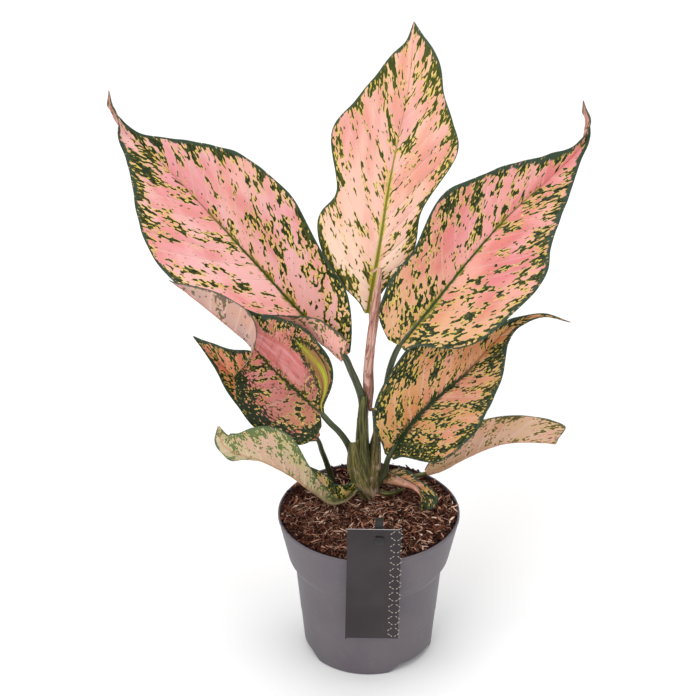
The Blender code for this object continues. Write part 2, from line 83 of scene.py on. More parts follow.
# ---------------------------------------------------------------- pot
# The real one is a thin nursery pot, moulded in one piece from matt grey-mauve polypropylene. Its wide rim band
# tapers down to a shoulder, and the foot is notched in three places so that water drains from under it.
rim_low, rim_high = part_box("pot")
POT_HEIGHT = rim_high.z
RIM_RADIUS = -rim_low.y
BAND_FOOT = (0.0535, 0.071)
SHOULDER = (0.0490, 0.0635)
BASE_RADIUS = 0.0430
POT_WALL = 0.0014
LINE_Z = 0.0285  # a faint step runs round the body here
POT_SIDES = 168
POT_CORNER = 0.0016
FLOOR_THICK = 0.0020
EDGE_THICK = 0.0065
EDGE_WIDTH = 0.0090
NOTCH_HEIGHT = 0.0054
NOTCH_DEPTH = 0.0060
NOTCH_ANGLES = (48, 168, 280)
NOTCH_SPAN = 60
NOTCH_STEPS = 31
DRAIN_RADIUS = 0.0030
DRAIN_CIRCLE = 0.0240
DRAINS = 6


def colour(red, green, blue):
    """A paint colour given in screen values from 0 to 255, as the linear one that a shader takes."""
    parts = [v / 255 for v in (red, green, blue)]
    return tuple(v / 12.92 if v <= 0.04045 else ((v + 0.055) / 1.055) ** 2.4 for v in parts) + (1.0,)


class Wire:
    """A socket in a node tree. Arithmetic on it adds Math nodes."""

    def __init__(self, tree, socket):
        self.tree, self.socket = tree, socket

    def calc(self, operation, *others):
        return add(self.tree, "ShaderNodeMath", [self, *others], operation=operation)

    def __add__(self, other):
        return self.calc("ADD", other)

    def __sub__(self, other):
        return self.calc("SUBTRACT", other)

    def __mul__(self, other):
        return self.calc("MULTIPLY", other)

    def __truediv__(self, other):
        return self.calc("DIVIDE", other)

    def between(self, low, high):
        """0 up to `low`, 1 from `high`, and a smooth step between them."""
        names = {"Value": self, "From Min": low, "From Max": high}
        return add(self.tree, "ShaderNodeMapRange", names, interpolation_type="SMOOTHSTEP")


def add(tree, kind, inputs=(), out=0, **settings):
    """Adds a node, sets or links its inputs, and gives one of its outputs as a Wire."""
    made = tree.nodes.new(kind)
    for key, value in settings.items():
        setattr(made, key, value)
    for key, value in inputs.items() if isinstance(inputs, dict) else enumerate(inputs):
        if isinstance(value, Wire):
            tree.links.new(value.socket, made.inputs[key])
        else:
            made.inputs[key].default_value = value
    return Wire(tree, made.outputs[out])


def noise(tree, at, scale, detail=2.0, rough=0.5, out="Fac"):
    names = {"Vector": at, "Scale": scale, "Detail": detail, "Roughness": rough}
    return add(tree, "ShaderNodeTexNoise", names, out=out)


def mix(tree, share, first, second):
    """A colour between two, at this share."""
    names = {0: share, 6: first, 7: second}
    return add(tree, "ShaderNodeMix", names, out=2, data_type="RGBA")


def bump(tree, height, distance, strength=1.0):
    return add(tree, "ShaderNodeBump", {"Height": height, "Distance": distance, "Strength": strength})


def new_finish(name, roughness, **sockets):
    """A material with a Principled shader, and the node tree that it is built in."""
    made = bpy.data.materials.new(name)
    made.use_nodes = True
    shader = made.node_tree.nodes["Principled BSDF"]
    shader.inputs["Roughness"].default_value = roughness
    for key, value in sockets.items():
        shader.inputs[key.replace("_", " ")].default_value = value
    return made, made.node_tree


def wear(tree, **wires):
    """Links wires to the shader's own sockets."""
    shader = tree.nodes["Principled BSDF"]
    for key, wire in wires.items():
        tree.links.new(wire.socket, shader.inputs[key.replace("_", " ")])


def add_piece(name, points, faces, finishes=(), slots=None):
    """A mesh object with smooth faces. `slots` says which finish each face has."""
    mesh = bpy.data.meshes.new(name)
    mesh.from_pydata(np.asarray(points, float).tolist(), [], faces)
    for finish in finishes:
        mesh.materials.append(finish)
    if slots is not None:
        mesh.polygons.foreach_set("material_index", np.asarray(slots, np.int32))
    mesh.shade_smooth()
    made = bpy.data.objects.new(name, mesh)
    bpy.context.scene.collection.objects.link(made)
    return made


def close_up(piece, sharp=None):
    """Merges doubled points and turns the faces outwards."""
    shape = bmesh.new()
    shape.from_mesh(piece.data)
    bmesh.ops.remove_doubles(shape, verts=shape.verts, dist=1e-6)
    bmesh.ops.recalc_face_normals(shape, faces=shape.faces)
    shape.to_mesh(piece.data)
    shape.free()
    if sharp is not None:
        piece.data.set_sharp_from_angle(angle=math.radians(sharp))


def settle(piece, slot, *nodes):
    """The piece rides on the plant's one body and stands for these nodes, which it hides. The slot is not used."""
    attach(piece, "root")
    if nodes:
        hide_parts(*nodes)


def turned(name, profile, sides, finishes):
    """Turns a closed profile of (radius, z) about the axis; radius 0 makes a pole."""
    points, rows = [], []
    turn = 2 * math.pi * np.arange(sides) / sides
    for radius, z in profile:
        start = len(points)
        if radius == 0:
            points.append((0, 0, z))
            rows.append([start] * sides)
            continue
        points += [(radius * math.sin(a), -radius * math.cos(a), z) for a in turn]
        rows.append(list(range(start, start + sides)))
    faces = []
    for row, after in zip(rows, rows[1:]):
        for k in range(sides):
            corners = (row[k], row[(k + 1) % sides], after[(k + 1) % sides], after[k])
            faces.append(tuple(dict.fromkeys(corners)))
    return add_piece(name, points, faces, finishes)


def rounded(profile, radius, steps=4):
    """The profile with its corners rounded, poles and end points apart."""
    path = [np.array(p, float) for p in profile]
    smooth = [profile[0]]
    for before, corner, after in zip(path, path[1:], path[2:]):
        ways = [before - corner, after - corner]
        reach = min(radius, *(0.45 * np.linalg.norm(w) for w in ways))
        start, end = (corner + reach * w / np.linalg.norm(w) for w in ways)
        for t in np.linspace(0, 1, steps):
            smooth.append(tuple((1 - t) ** 2 * start + 2 * t * (1 - t) * corner + t * t * end))
    return smooth + [profile[-1]]


def baked(piece):
    """A plain mesh of the piece, as its modifiers leave it."""
    graph = bpy.context.evaluated_depsgraph_get()
    return bpy.data.meshes.new_from_object(piece.evaluated_get(graph), depsgraph=graph)


def cut(piece, cutters):
    """Takes the cutters out of the piece, and deletes them."""
    for cutter in cutters:
        boolean = piece.modifiers.new("cut", "BOOLEAN")
        boolean.solver = "EXACT"
        boolean.object = cutter
    mesh = baked(piece)
    piece.modifiers.clear()
    piece.data = mesh
    for cutter in cutters:
        bpy.data.objects.remove(cutter)


pot_plastic, tree = new_finish("pot_plastic", 0.52, Specular_IOR_Level=0.35)
place = add(tree, "ShaderNodeTexCoord", out="Object")
clouds = noise(tree, place, 28, 3).between(0.35, 0.65)
scuffs = noise(tree, place, 210, 4, 0.7).between(0.55, 0.75)
shade = mix(tree, clouds, colour(95, 89, 95), colour(103, 97, 102))
shade = mix(tree, scuffs * 0.12, shade, colour(150, 143, 148))
grain = noise(tree, place, 900, 2)
wear(tree, Base_Color=shade, Normal=bump(tree, grain, 0.00005, 0.6), Roughness=clouds * 0.08 + 0.48)

line_radius = BASE_RADIUS + (SHOULDER[0] - BASE_RADIUS) * LINE_Z / SHOULDER[1]
outer = [
    (BASE_RADIUS - 0.0006, 0), (BASE_RADIUS, 0.0008), (line_radius - 0.0002, LINE_Z - 0.0003),
    (line_radius + 0.0001, LINE_Z + 0.0003), SHOULDER, (SHOULDER[0] + 0.0008, SHOULDER[1] + 0.0012), BAND_FOOT,
    (RIM_RADIUS - 0.0004, POT_HEIGHT - 0.003), (RIM_RADIUS, POT_HEIGHT - 0.0022), (RIM_RADIUS, POT_HEIGHT),
]
inner = [(radius - POT_WALL, z) for radius, z in outer[4:]]
ring = BASE_RADIUS - EDGE_WIDTH
floor_line = [(ring, FLOOR_THICK), (ring, EDGE_THICK), (BASE_RADIUS - POT_WALL, EDGE_THICK)]
wall_line = [(BASE_RADIUS - 0.003, 0)] + outer + inner[::-1] + floor_line[::-1] + [(ring - 0.003, FLOOR_THICK)]
wall_line = [(0, 0)] + rounded(wall_line, POT_CORNER) + [(0, FLOOR_THICK)]
pot = turned("pot_shell", wall_line, POT_SIDES, [pot_plastic])
close_up(pot)
cutters = []
for angle in NOTCH_ANGLES:
    points = []
    for share in np.linspace(0, 1, NOTCH_STEPS):
        turn = math.radians(angle + NOTCH_SPAN * (share - 0.5))
        high = NOTCH_HEIGHT * min(1.0, 0.12 + 5 * min(share, 1 - share))
        for radius, z in ((-NOTCH_DEPTH, -0.002), (0.01, -0.002), (0.01, high), (-NOTCH_DEPTH, high)):
            points.append(((BASE_RADIUS + radius) * math.sin(turn), -(BASE_RADIUS + radius) * math.cos(turn), z))
    last = len(points) - 4
    faces = [(0, 1, 2, 3), (last, last + 3, last + 2, last + 1)]
    faces += [(k + c, k + 4 + c, k + 4 + (c + 1) % 4, k + (c + 1) % 4) for k in range(0, last, 4) for c in range(4)]
    cutters.append(add_piece("notch_cutter", points, faces))
for k in range(DRAINS):
    turn = math.radians(30 + 360 * k / DRAINS)
    cutter = turned("drain_cutter", [(0, -0.002), (DRAIN_RADIUS, -0.002), (DRAIN_RADIUS, 0.004), (0, 0.004)], 24, [])
    for point in cutter.data.vertices:
        point.co.x += DRAIN_CIRCLE * math.sin(turn)
        point.co.y -= DRAIN_CIRCLE * math.cos(turn)
    cutters.append(cutter)
for cutter in cutters:
    close_up(cutter)
cut(pot, cutters)
pot.data.set_sharp_from_angle(angle=math.radians(40))
settle(pot, "pot", "pot")

# ---------------------------------------------------------------- filling
# Coir and peat with shreds of bark, pressed in by hand round the roots up to just under the rim. The loose
# top is a rough bed with crumbs, fibres and pale shavings lying on it in all directions.
SOIL_TOP = 0.1013
CLEARANCE = 0.0003
SOIL_SIDES = 150
SOIL_RINGS = 48
RNG = np.random.default_rng(41)


def new_tree(name, sockets):
    """A Geometry Nodes tree that takes and gives geometry, with these named inputs."""
    tree = bpy.data.node_groups.new(name, "GeometryNodeTree")
    tree.interface.new_socket("Geometry", in_out="OUTPUT", socket_type="NodeSocketGeometry")
    tree.interface.new_socket("Geometry", in_out="INPUT", socket_type="NodeSocketGeometry")
    for label, kind in sockets.items():
        tree.interface.new_socket(label, in_out="INPUT", socket_type="NodeSocket" + kind)
    start = tree.nodes.new("NodeGroupInput")
    return tree, {socket.name: Wire(tree, socket) for socket in start.outputs if socket.name}


def end_tree(tree, shape, finish):
    """Realises the shape, gives it its finish and ends the tree."""
    whole = add(tree, "GeometryNodeRealizeInstances", [shape])
    painted = add(tree, "GeometryNodeSetMaterial", {"Geometry": whole, "Material": finish})
    end = tree.nodes.new("NodeGroupOutput")
    tree.links.new(painted.socket, end.inputs[0])


def grown(name, carrier, tree, values):
    """Runs the tree on the carrier's mesh and keeps what it makes as a plain piece."""
    modifier = carrier.modifiers.new(name, "NODES")
    modifier.node_group = tree
    for item in tree.interface.items_tree:
        if item.item_type == "SOCKET" and item.in_out == "INPUT" and item.name in values:
            modifier[item.identifier] = values[item.name]
    mesh = baked(carrier)
    carrier.modifiers.remove(modifier)
    made = bpy.data.objects.new(name, mesh)
    bpy.context.scene.collection.objects.link(made)
    return made


def sleeve(loops, sides):
    """The faces that join each closed loop of points to the next."""
    return [
        (i * sides + k, i * sides + (k + 1) % sides, (i + 1) * sides + (k + 1) % sides, (i + 1) * sides + k)
        for i in range(loops - 1) for k in range(sides)
    ]


def shred(name, length, width, thick, segments, sides, bend, rough):
    """One loose bit of filling: a tapered, bent sliver with an uneven outline."""
    run = np.linspace(-0.5, 0.5, segments + 1)
    swing = np.cumsum(RNG.normal(0, bend, (segments + 1, 2)), axis=0)
    swing -= swing.mean(axis=0)
    spine = np.stack([run * length, swing[:, 0] * length, swing[:, 1] * length * 0.5], -1)
    taper = (1 - np.abs(run * 2) ** 3) * 0.75 + 0.25
    turn = 2 * np.pi * (np.arange(sides) + 0.5) / sides
    points = []
    for middle, share in zip(spine, taper):
        uneven = 1 + RNG.normal(0, rough, sides)
        for a, far in zip(turn, uneven):
            points.append(middle + np.array((0, math.cos(a) * width, math.sin(a) * thick)) * 0.5 * share * far)
    faces = [tuple(range(sides))[::-1], tuple(segments * sides + k for k in range(sides))]
    made = add_piece(name, points, faces + sleeve(segments + 1, sides))
    close_up(made)
    return made


gap = POT_WALL + CLEARANCE
ring = BASE_RADIUS - EDGE_WIDTH - CLEARANCE
slope = (RIM_RADIUS - BAND_FOOT[0]) / (POT_HEIGHT - BAND_FOOT[1])
soil_edge = RIM_RADIUS - 0.0006 - slope * (POT_HEIGHT - SOIL_TOP) - gap
profile = [
    (0, FLOOR_THICK + CLEARANCE), (ring, FLOOR_THICK + CLEARANCE), (ring, EDGE_THICK + CLEARANCE),
    (BASE_RADIUS - gap, EDGE_THICK + CLEARANCE), (SHOULDER[0] - gap, SHOULDER[1]),
    (BAND_FOOT[0] - gap - 0.0002, BAND_FOOT[1]), (soil_edge, SOIL_TOP),
]
profile += [(soil_edge * share, SOIL_TOP) for share in np.linspace(0.985, 0.02, SOIL_RINGS)] + [(0, SOIL_TOP)]

coir, tree = new_finish("coir_bed", 0.95, Specular_IOR_Level=0.15)
place = add(tree, "ShaderNodeTexCoord", out="Object")
lumps = noise(tree, place, 420, 4, 0.7)
shade = mix(tree, lumps.between(0.35, 0.7), colour(18, 9, 7), colour(72, 41, 32))
wear(tree, Base_Color=shade, Normal=bump(tree, lumps, 0.0012))

bed = turned("soil_bed", profile, SOIL_SIDES, [coir])
# the middle, width and rise of each mound or hollow, in millimetres
MOUNDS = (
    (-38, 22, 13, -4.5), (-22, 40, 12, -3.5), (8, 14, 16, 2.2),
    (34, -22, 15, 1.6), (-26, -26, 16, 1.2), (12, 30, 12, -1.5),
)
for point in bed.data.vertices:
    x, y, z = point.co
    if z < SOIL_TOP - 1e-4:
        continue
    calm = min(1.0, max(0.0, (soil_edge - math.hypot(x, y)) / 0.004))
    rise = 0.0009 * (math.sin(210 * x + 1) * math.cos(180 * y + 2) + 0.6 * math.sin(330 * (x + y)))
    rise += sum(
        0.001 * up * math.exp(-math.hypot(1000 * x - middle_x, 1000 * y - middle_y) ** 2 / wide**2)
        for middle_x, middle_y, wide, up in MOUNDS
    )
    point.co.z = z + calm * (rise + RNG.normal(0, 0.00035)) + 0.0003
close_up(bed)
settle(bed, "soil", "soil")

bits, tree = new_finish("coir_bits", 0.9, Specular_IOR_Level=0.12)
tone = add(tree, "ShaderNodeAttribute", out="Fac", attribute_name="tone")
ramp = tree.nodes.new("ShaderNodeValToRGB")
tree.links.new(tone.socket, ramp.inputs[0])
BIT_TONES = (
    (0.0, (28, 13, 9)), (0.25, (68, 37, 26)), (0.48, (122, 75, 56)),
    (0.68, (182, 128, 103)), (0.84, (228, 184, 158)), (1.0, (252, 228, 206)),
)
while len(ramp.color_ramp.elements) < len(BIT_TONES):
    ramp.color_ramp.elements.new(0.5)
for stop, (share, tint) in zip(ramp.color_ramp.elements, BIT_TONES):
    stop.position, stop.color = share, colour(*tint)
place = add(tree, "ShaderNodeTexCoord", out="Object")
grain = noise(tree, place, 1500, 3, 0.6)
shade = mix(tree, grain.between(0.3, 0.7) * 0.35, Wire(tree, ramp.outputs[0]), colour(58, 32, 25))
wear(tree, Base_Color=shade, Normal=bump(tree, grain, 0.0003))

strew, given = new_tree("strewn_bits", {
    "Kinds": "Collection", "Density": "Float", "Seed": "Int", "Smallest": "Float", "Largest": "Float",
    "Tilt": "Float", "Lift": "Float", "Palest": "Float", "Reach": "Float", "Finish": "Material",
})
where = add(strew, "GeometryNodeInputPosition")
height = add(strew, "ShaderNodeSeparateXYZ", [where], out=2)
flat = add(strew, "ShaderNodeVectorMath", [where, (1, 1, 0)], operation="MULTIPLY")
far = add(strew, "ShaderNodeVectorMath", [flat], out=1, operation="LENGTH")
on_top = (far.calc("LESS_THAN", given["Reach"])) * height.calc("GREATER_THAN", SOIL_TOP - 0.007)
points = add(strew, "GeometryNodeDistributePointsOnFaces", {
    "Mesh": given["Geometry"], "Selection": on_top, "Density": given["Density"], "Seed": given["Seed"]})
by_rim = far.between(soil_edge - 0.004, soil_edge)  # these are lifted and moved out, to lie over the rim
lowest = by_rim * 0.0018
least = add(strew, "ShaderNodeCombineXYZ", {"Z": lowest})
most = add(strew, "ShaderNodeCombineXYZ", {"Z": lowest + given["Lift"]})
shift = add(strew, "FunctionNodeRandomValue", {0: least, 1: most, "Seed": given["Seed"]}, data_type="FLOAT_VECTOR")
outwards = add(strew, "ShaderNodeVectorMath", {0: flat, "Scale": by_rim * 0.026}, operation="SCALE")
shift = add(strew, "ShaderNodeVectorMath", [shift, outwards])
points = add(strew, "GeometryNodeSetPosition", {"Geometry": points, "Offset": shift})
kinds = add(strew, "GeometryNodeCollectionInfo", {
    "Collection": given["Kinds"], "Separate Children": True, "Reset Children": True})
least = add(strew, "ShaderNodeCombineXYZ", {"X": given["Tilt"] * -1, "Y": given["Tilt"] * -1})
most = add(strew, "ShaderNodeCombineXYZ", {"X": given["Tilt"], "Y": given["Tilt"], "Z": 2 * math.pi})
turn = add(strew, "FunctionNodeRandomValue", {0: least, 1: most, "Seed": given["Seed"] + 1}, data_type="FLOAT_VECTOR")
sizes = {2: given["Smallest"], 3: given["Largest"], "Seed": given["Seed"] + 2}
size = add(strew, "FunctionNodeRandomValue", sizes, out=1)
copies = add(strew, "GeometryNodeInstanceOnPoints", {
    "Points": points, "Instance": kinds, "Pick Instance": True, "Rotation": turn, "Scale": size})
tint = add(strew, "FunctionNodeRandomValue", {2: 0.0, 3: given["Palest"], "Seed": given["Seed"] + 3}, out=1)
copies = add(strew, "GeometryNodeStoreNamedAttribute", {"Geometry": copies, "Name": "tone", "Value": tint},
             data_type="FLOAT", domain="INSTANCE")
end_tree(strew, copies, given["Finish"])

# name: size of one bit (length, width, thickness), segments, sides, bend, roughness, kinds, then how it is strewn
STREWN = {
    "crumbs": ((0.0019, 0.0014, 0.0011), 3, 5, 0.05, 0.2, 6, dict(
        Density=430000.0, Seed=3, Smallest=0.4, Largest=1.35, Tilt=0.9, Lift=0.0012, Palest=0.54,
        Reach=soil_edge)),
    "fibres": ((0.0094, 0.00046, 0.00034), 6, 3, 0.06, 0.15, 9, dict(
        Density=190000.0, Seed=11, Smallest=0.4, Largest=1.3, Tilt=0.3, Lift=0.0024, Palest=0.96,
        Reach=soil_edge - 0.0030)),
    "shavings": ((0.0064, 0.0016, 0.00050), 5, 4, 0.035, 0.22, 7, dict(
        Density=80000.0, Seed=23, Smallest=0.3, Largest=1.3, Tilt=0.36, Lift=0.0024, Palest=1.0,
        Reach=soil_edge - 0.0020)),
}
for name, (sizes, segments, sides, bend, rough, count, values) in STREWN.items():
    kinds = bpy.data.collections.new(name + "_kinds")
    for k in range(count):
        kind = shred("%s_%d" % (name, k), *sizes, segments, sides, bend, rough)
        bpy.context.scene.collection.objects.unlink(kind)
        kinds.objects.link(kind)
    loose = grown("soil_" + name, bed, strew, dict(values, Kinds=kinds, Finish=bits))
    for kind in list(kinds.objects):
        bpy.data.objects.remove(kind)
    bpy.data.collections.remove(kinds)
    settle(loose, "soil")

# ---------------------------------------------------------------- stems
# Each leaf stands on a fleshy petiole, whose foot wraps the stem as a sheath. Older ones have dried to a papery
# pink-brown. They are smooth and round above, and faintly ribbed lengthwise, with a paler, mottled foot.
STEM_SIDES = 26
STEM_STEP = 0.0016
SHEATH_THICK = 0.0007
SHEATH_ROWS = 60
SHEATH_COLUMNS = 25
# points and radii in millimetres, from the plant's foot outwards; then the finish's dark, light and mottled colours
OLIVE = ((42, 46, 20), (112, 110, 56), (100, 80, 46))
DEEP_GREEN = ((40, 52, 32), (84, 92, 60), (62, 60, 36))
STEMS = {
    "cane": (
        ((0, 23, 88), (0, 23, 104), (-3, 22.5, 122), (-4.2, 21.5, 142), (-4.2, 20, 162)),
        (4.6, 5.6, 6.2, 4.5, 3.8), OLIVE),
    "petiole_upper_left": (
        ((-4, 20, 156), (-4.6, 18, 178), (-7.6, 18, 189), (-12, 17, 201), (-16, 16.5, 211), (-27, 22, 220),
         (-43, 30.5, 235)),
        (3.6, 2.9, 2.5, 2.3, 2.1, 1.5, 0.7), DEEP_GREEN),
    "petiole_top": (
        ((-3, 23, 158), (-1, 25, 185), (2, 28, 218), (1.5, 31, 236), (4, 40, 258), (7, 47, 280)),
        (2.2, 2.4, 2.2, 1.8, 1.3, 0.7), ((150, 104, 88), (214, 166, 152), (132, 88, 70))),
    "petiole_middle_left": (
        ((-2, 21, 108), (-8, 17, 126), (-14, 13, 147), (-20, 11, 158), (-26, 9, 166), (-32, 9, 174), (-40, 11, 182)),
        (4.0, 4.2, 3.1, 2.2, 2.0, 1.8, 0.8), DEEP_GREEN),
    "petiole_upper_right": (
        ((0, 21, 118), (4, 20, 142), (8, 20, 165), (11, 20, 184), (14, 19, 203), (20, 15.5, 221), (31, 21, 234),
         (43, 27.5, 247)),
        (4.0, 3.6, 2.6, 2.3, 2.1, 1.9, 1.3, 0.7), DEEP_GREEN),
    "petiole_right_middle": (
        ((0, 20, 105), (4, 18, 111), (10, 14, 124), (13, 10.5, 138), (20, 13, 152), (29, 14.5, 164)),
        (3.0, 2.6, 2.0, 1.8, 1.4, 0.8), DEEP_GREEN),
    "petiole_lower_right": (
        ((0, 26, 106), (12, 29, 108), (24, 31, 108), (37, 33.7, 110.3), (48, 35, 113)),
        (2.4, 2.2, 1.9, 1.5, 0.8), OLIVE),
    "petiole_soil_right": (((0, 22, 108), (7, 21, 113)), (2.0, 1.4), OLIVE),
    "petiole_left_small": (
        ((-22, 41, 88), (-26, 33, 112), (-31, 24, 134), (-35, 21, 147), (-45, 25.5, 151)),
        (2.5, 2.3, 1.9, 1.6, 0.8), DEEP_GREEN),
    "petiole_lower_left": (((-2, 20, 109), (-6, 13, 112), (-8.5, 9, 113.5)), (1.4, 2.3, 2.0), DEEP_GREEN),
    "soil_shoot": (((3, 21, 105), (13, 17, 105.5), (24, 12, 113)), (1.9, 1.7, 0.7), OLIVE),
}
# Sheaths: the same, with the angle left open in degrees, at the foot and at the top, and the way that they open.
SHEATHS = {
    "sheath_left": (
        ((-1, 18, 103), (-4.5, 15.5, 114), (-8.5, 13.5, 128), (-10.5, 12, 142), (-10.5, 11.5, 151)),
        (4.6, 5.8, 5.4, 4.2, 3.0),
        (130, 220), (-0.5, 0.9, 0.2), ((66, 64, 28), (126, 118, 64), (168, 148, 118))),
    "sheath_middle": (
        ((-1, 19, 103), (-3.6, 17.5, 122), (-4.6, 17.5, 150), (-4.3, 17.5, 172), (-3.8, 17.5, 182)),
        (5.2, 6.0, 4.2, 3.4, 2.6),
        (150, 240), (-0.3, 1, 0.1), OLIVE),
    "sheath_right": (
        ((1.5, 19, 103), (3.4, 17, 118), (5.0, 15, 134), (5.2, 14, 152), (4.0, 14, 166), (2.6, 14.5, 174)),
        (4.6, 4.3, 3.2, 2.5, 1.8, 0.7),
        (150, 240), (0.5, 0.9, 0.1), ((62, 56, 28), (122, 108, 66), (196, 168, 146))),
    "dry_sheath": (
        ((1, 20.5, 168), (0, 21.5, 178), (-0.6, 22.5, 196), (1.2, 24, 218), (3.6, 25.5, 238), (5.4, 27.5, 256),
         (5.6, 28, 270), (1.6, 26.5, 268)),
        (0.6, 3.2, 2.9, 2.7, 2.7, 2.5, 1.5, 0.5),
        (140, 250), (0.2, 1, 0.1), ((168, 118, 102), (228, 184, 170), (136, 90, 74))),
}


def through(knots, values, at):
    """A smooth curve through the values at the knots, read at each place in `at`."""
    knots, values, at = (np.asarray(v, float) for v in (knots, values, at))
    flat = values.ndim == 1
    values = values.reshape(len(knots), -1)
    steps = np.diff(knots)[:, None]
    rises = np.diff(values, axis=0) / steps
    inner = (rises[:-1] * steps[1:] + rises[1:] * steps[:-1]) / (steps[1:] + steps[:-1])
    slopes = np.concatenate([rises[:1], inner, rises[-1:]])
    i = np.clip(np.searchsorted(knots, at, side="right") - 1, 0, len(knots) - 2)
    step = steps[i]
    t = (at[:, None] - knots[i][:, None]) / step
    read = (
        (2 * t**3 - 3 * t**2 + 1) * values[i] + (t**3 - 2 * t**2 + t) * step * slopes[i]
        + (3 * t**2 - 2 * t**3) * values[i + 1] + (t**3 - t**2) * step * slopes[i + 1]
    )
    return read[:, 0] if flat else read


def evenly(values, at):
    """The values taken as evenly spaced from 0 to 1."""
    if len(values) == 1:
        return np.repeat(np.asarray(values, float), len(at), axis=0)
    return through(np.linspace(0, 1, len(values)), values, at)


def unit(vectors):
    return vectors / np.linalg.norm(vectors, axis=-1, keepdims=True)


def along(points, shares):
    """Points at these shares of the length of a smooth curve, with its directions there and its length."""
    points = np.asarray(points, float) * 0.001
    knots = np.concatenate([[0], np.cumsum(np.linalg.norm(np.diff(points, axis=0), axis=1))])
    fine = through(knots, points, np.linspace(0, knots[-1], 401))
    run = np.concatenate([[0], np.cumsum(np.linalg.norm(np.diff(fine, axis=0), axis=1))])
    ways = np.gradient(fine, axis=0)
    want = np.asarray(shares) * run[-1]
    places, turned_ways = (np.stack([np.interp(want, run, v[:, a]) for a in range(3)], -1) for v in (fine, ways))
    return places, unit(turned_ways), run[-1]


def write_numbers(piece, name, values, kind="FLOAT"):
    """Stores one value, or one vector, for each point of the mesh."""
    stored = piece.data.attributes.new(name, kind, "POINT")
    stored.data.foreach_set("vector" if kind == "FLOAT_VECTOR" else "value", np.asarray(values, np.float32).ravel())


def stem_finish(name, dark, light, mottled, papery=0.0):
    """Skin of a stem, streaked along it. `stem` holds the place on it in millimetres, `share` how far up it is."""
    made, tree = new_finish(name, 0.42 + 0.3 * papery, Specular_IOR_Level=0.45 - 0.25 * papery)
    place = add(tree, "ShaderNodeAttribute", out="Vector", attribute_name="stem")
    share = add(tree, "ShaderNodeAttribute", out="Fac", attribute_name="share")
    long_grain = add(tree, "ShaderNodeMapping", {"Vector": place, "Scale": (0.07, 1, 1)})
    short_grain = add(tree, "ShaderNodeMapping", {"Vector": place, "Scale": (0.3, 1, 1)})
    streaks = noise(tree, long_grain, 0.9, 3, 0.6)
    patches = noise(tree, short_grain, 0.42, 3, 0.65)
    shade = mix(tree, streaks.between(0.36, 0.66), colour(*dark), colour(*light))
    foot = (patches + (share * -0.22)).between(0.42, 0.54)
    shade = mix(tree, foot * (0.6 + 0.25 * papery), shade, colour(*mottled))
    height = streaks + patches * 0.4
    wear(tree, Base_Color=shade, Normal=bump(tree, height, 0.0005 + 0.0006 * papery))
    return made


def skinned(name, grid, above, below, finishes, stored):
    """A thin closed sheet round a grid of points. `stored` gives values for each grid point."""
    rows, cols = grid.shape[:2]
    out = unit(np.cross(np.gradient(grid, axis=1), np.gradient(grid, axis=0)))
    skins = [grid + out * above[..., None], grid - out * below[..., None]]
    index = np.arange(2 * rows * cols).reshape(2, rows, cols)
    quads = []
    for skin, turn in zip(index, (1, -1)):
        a, b, c, d = skin[:-1, :-1], skin[:-1, 1:], skin[1:, 1:], skin[1:, :-1]
        quads.append(np.stack([a, b, c, d][::turn], -1).reshape(-1, 4))
    ring = np.concatenate([
        np.stack([np.arange(rows), np.zeros(rows, int)], -1),
        np.stack([np.full(cols - 1, rows - 1), np.arange(1, cols)], -1),
        np.stack([np.arange(rows - 2, -1, -1), np.full(rows - 1, cols - 1)], -1),
        np.stack([np.zeros(cols - 2, int), np.arange(cols - 2, 0, -1)], -1),
    ])
    after = np.roll(ring, -1, axis=0)
    upper, lower = index[0], index[1]
    edge = np.stack([upper[tuple(ring.T)], upper[tuple(after.T)], lower[tuple(after.T)], lower[tuple(ring.T)]], -1)
    slots = np.repeat((0, len(finishes) - 1, 0), (len(quads[0]), len(quads[1]), len(edge)))
    made = add_piece(name, np.concatenate([s.reshape(-1, 3) for s in skins]),
                     np.concatenate([*quads, edge]).tolist(), finishes, slots)
    for key, values in stored.items():
        both = np.concatenate([np.asarray(values).reshape(rows * cols, -1)] * 2)
        write_numbers(made, key, both, "FLOAT" if both.shape[1] == 1 else "FLOAT_VECTOR")
    return made


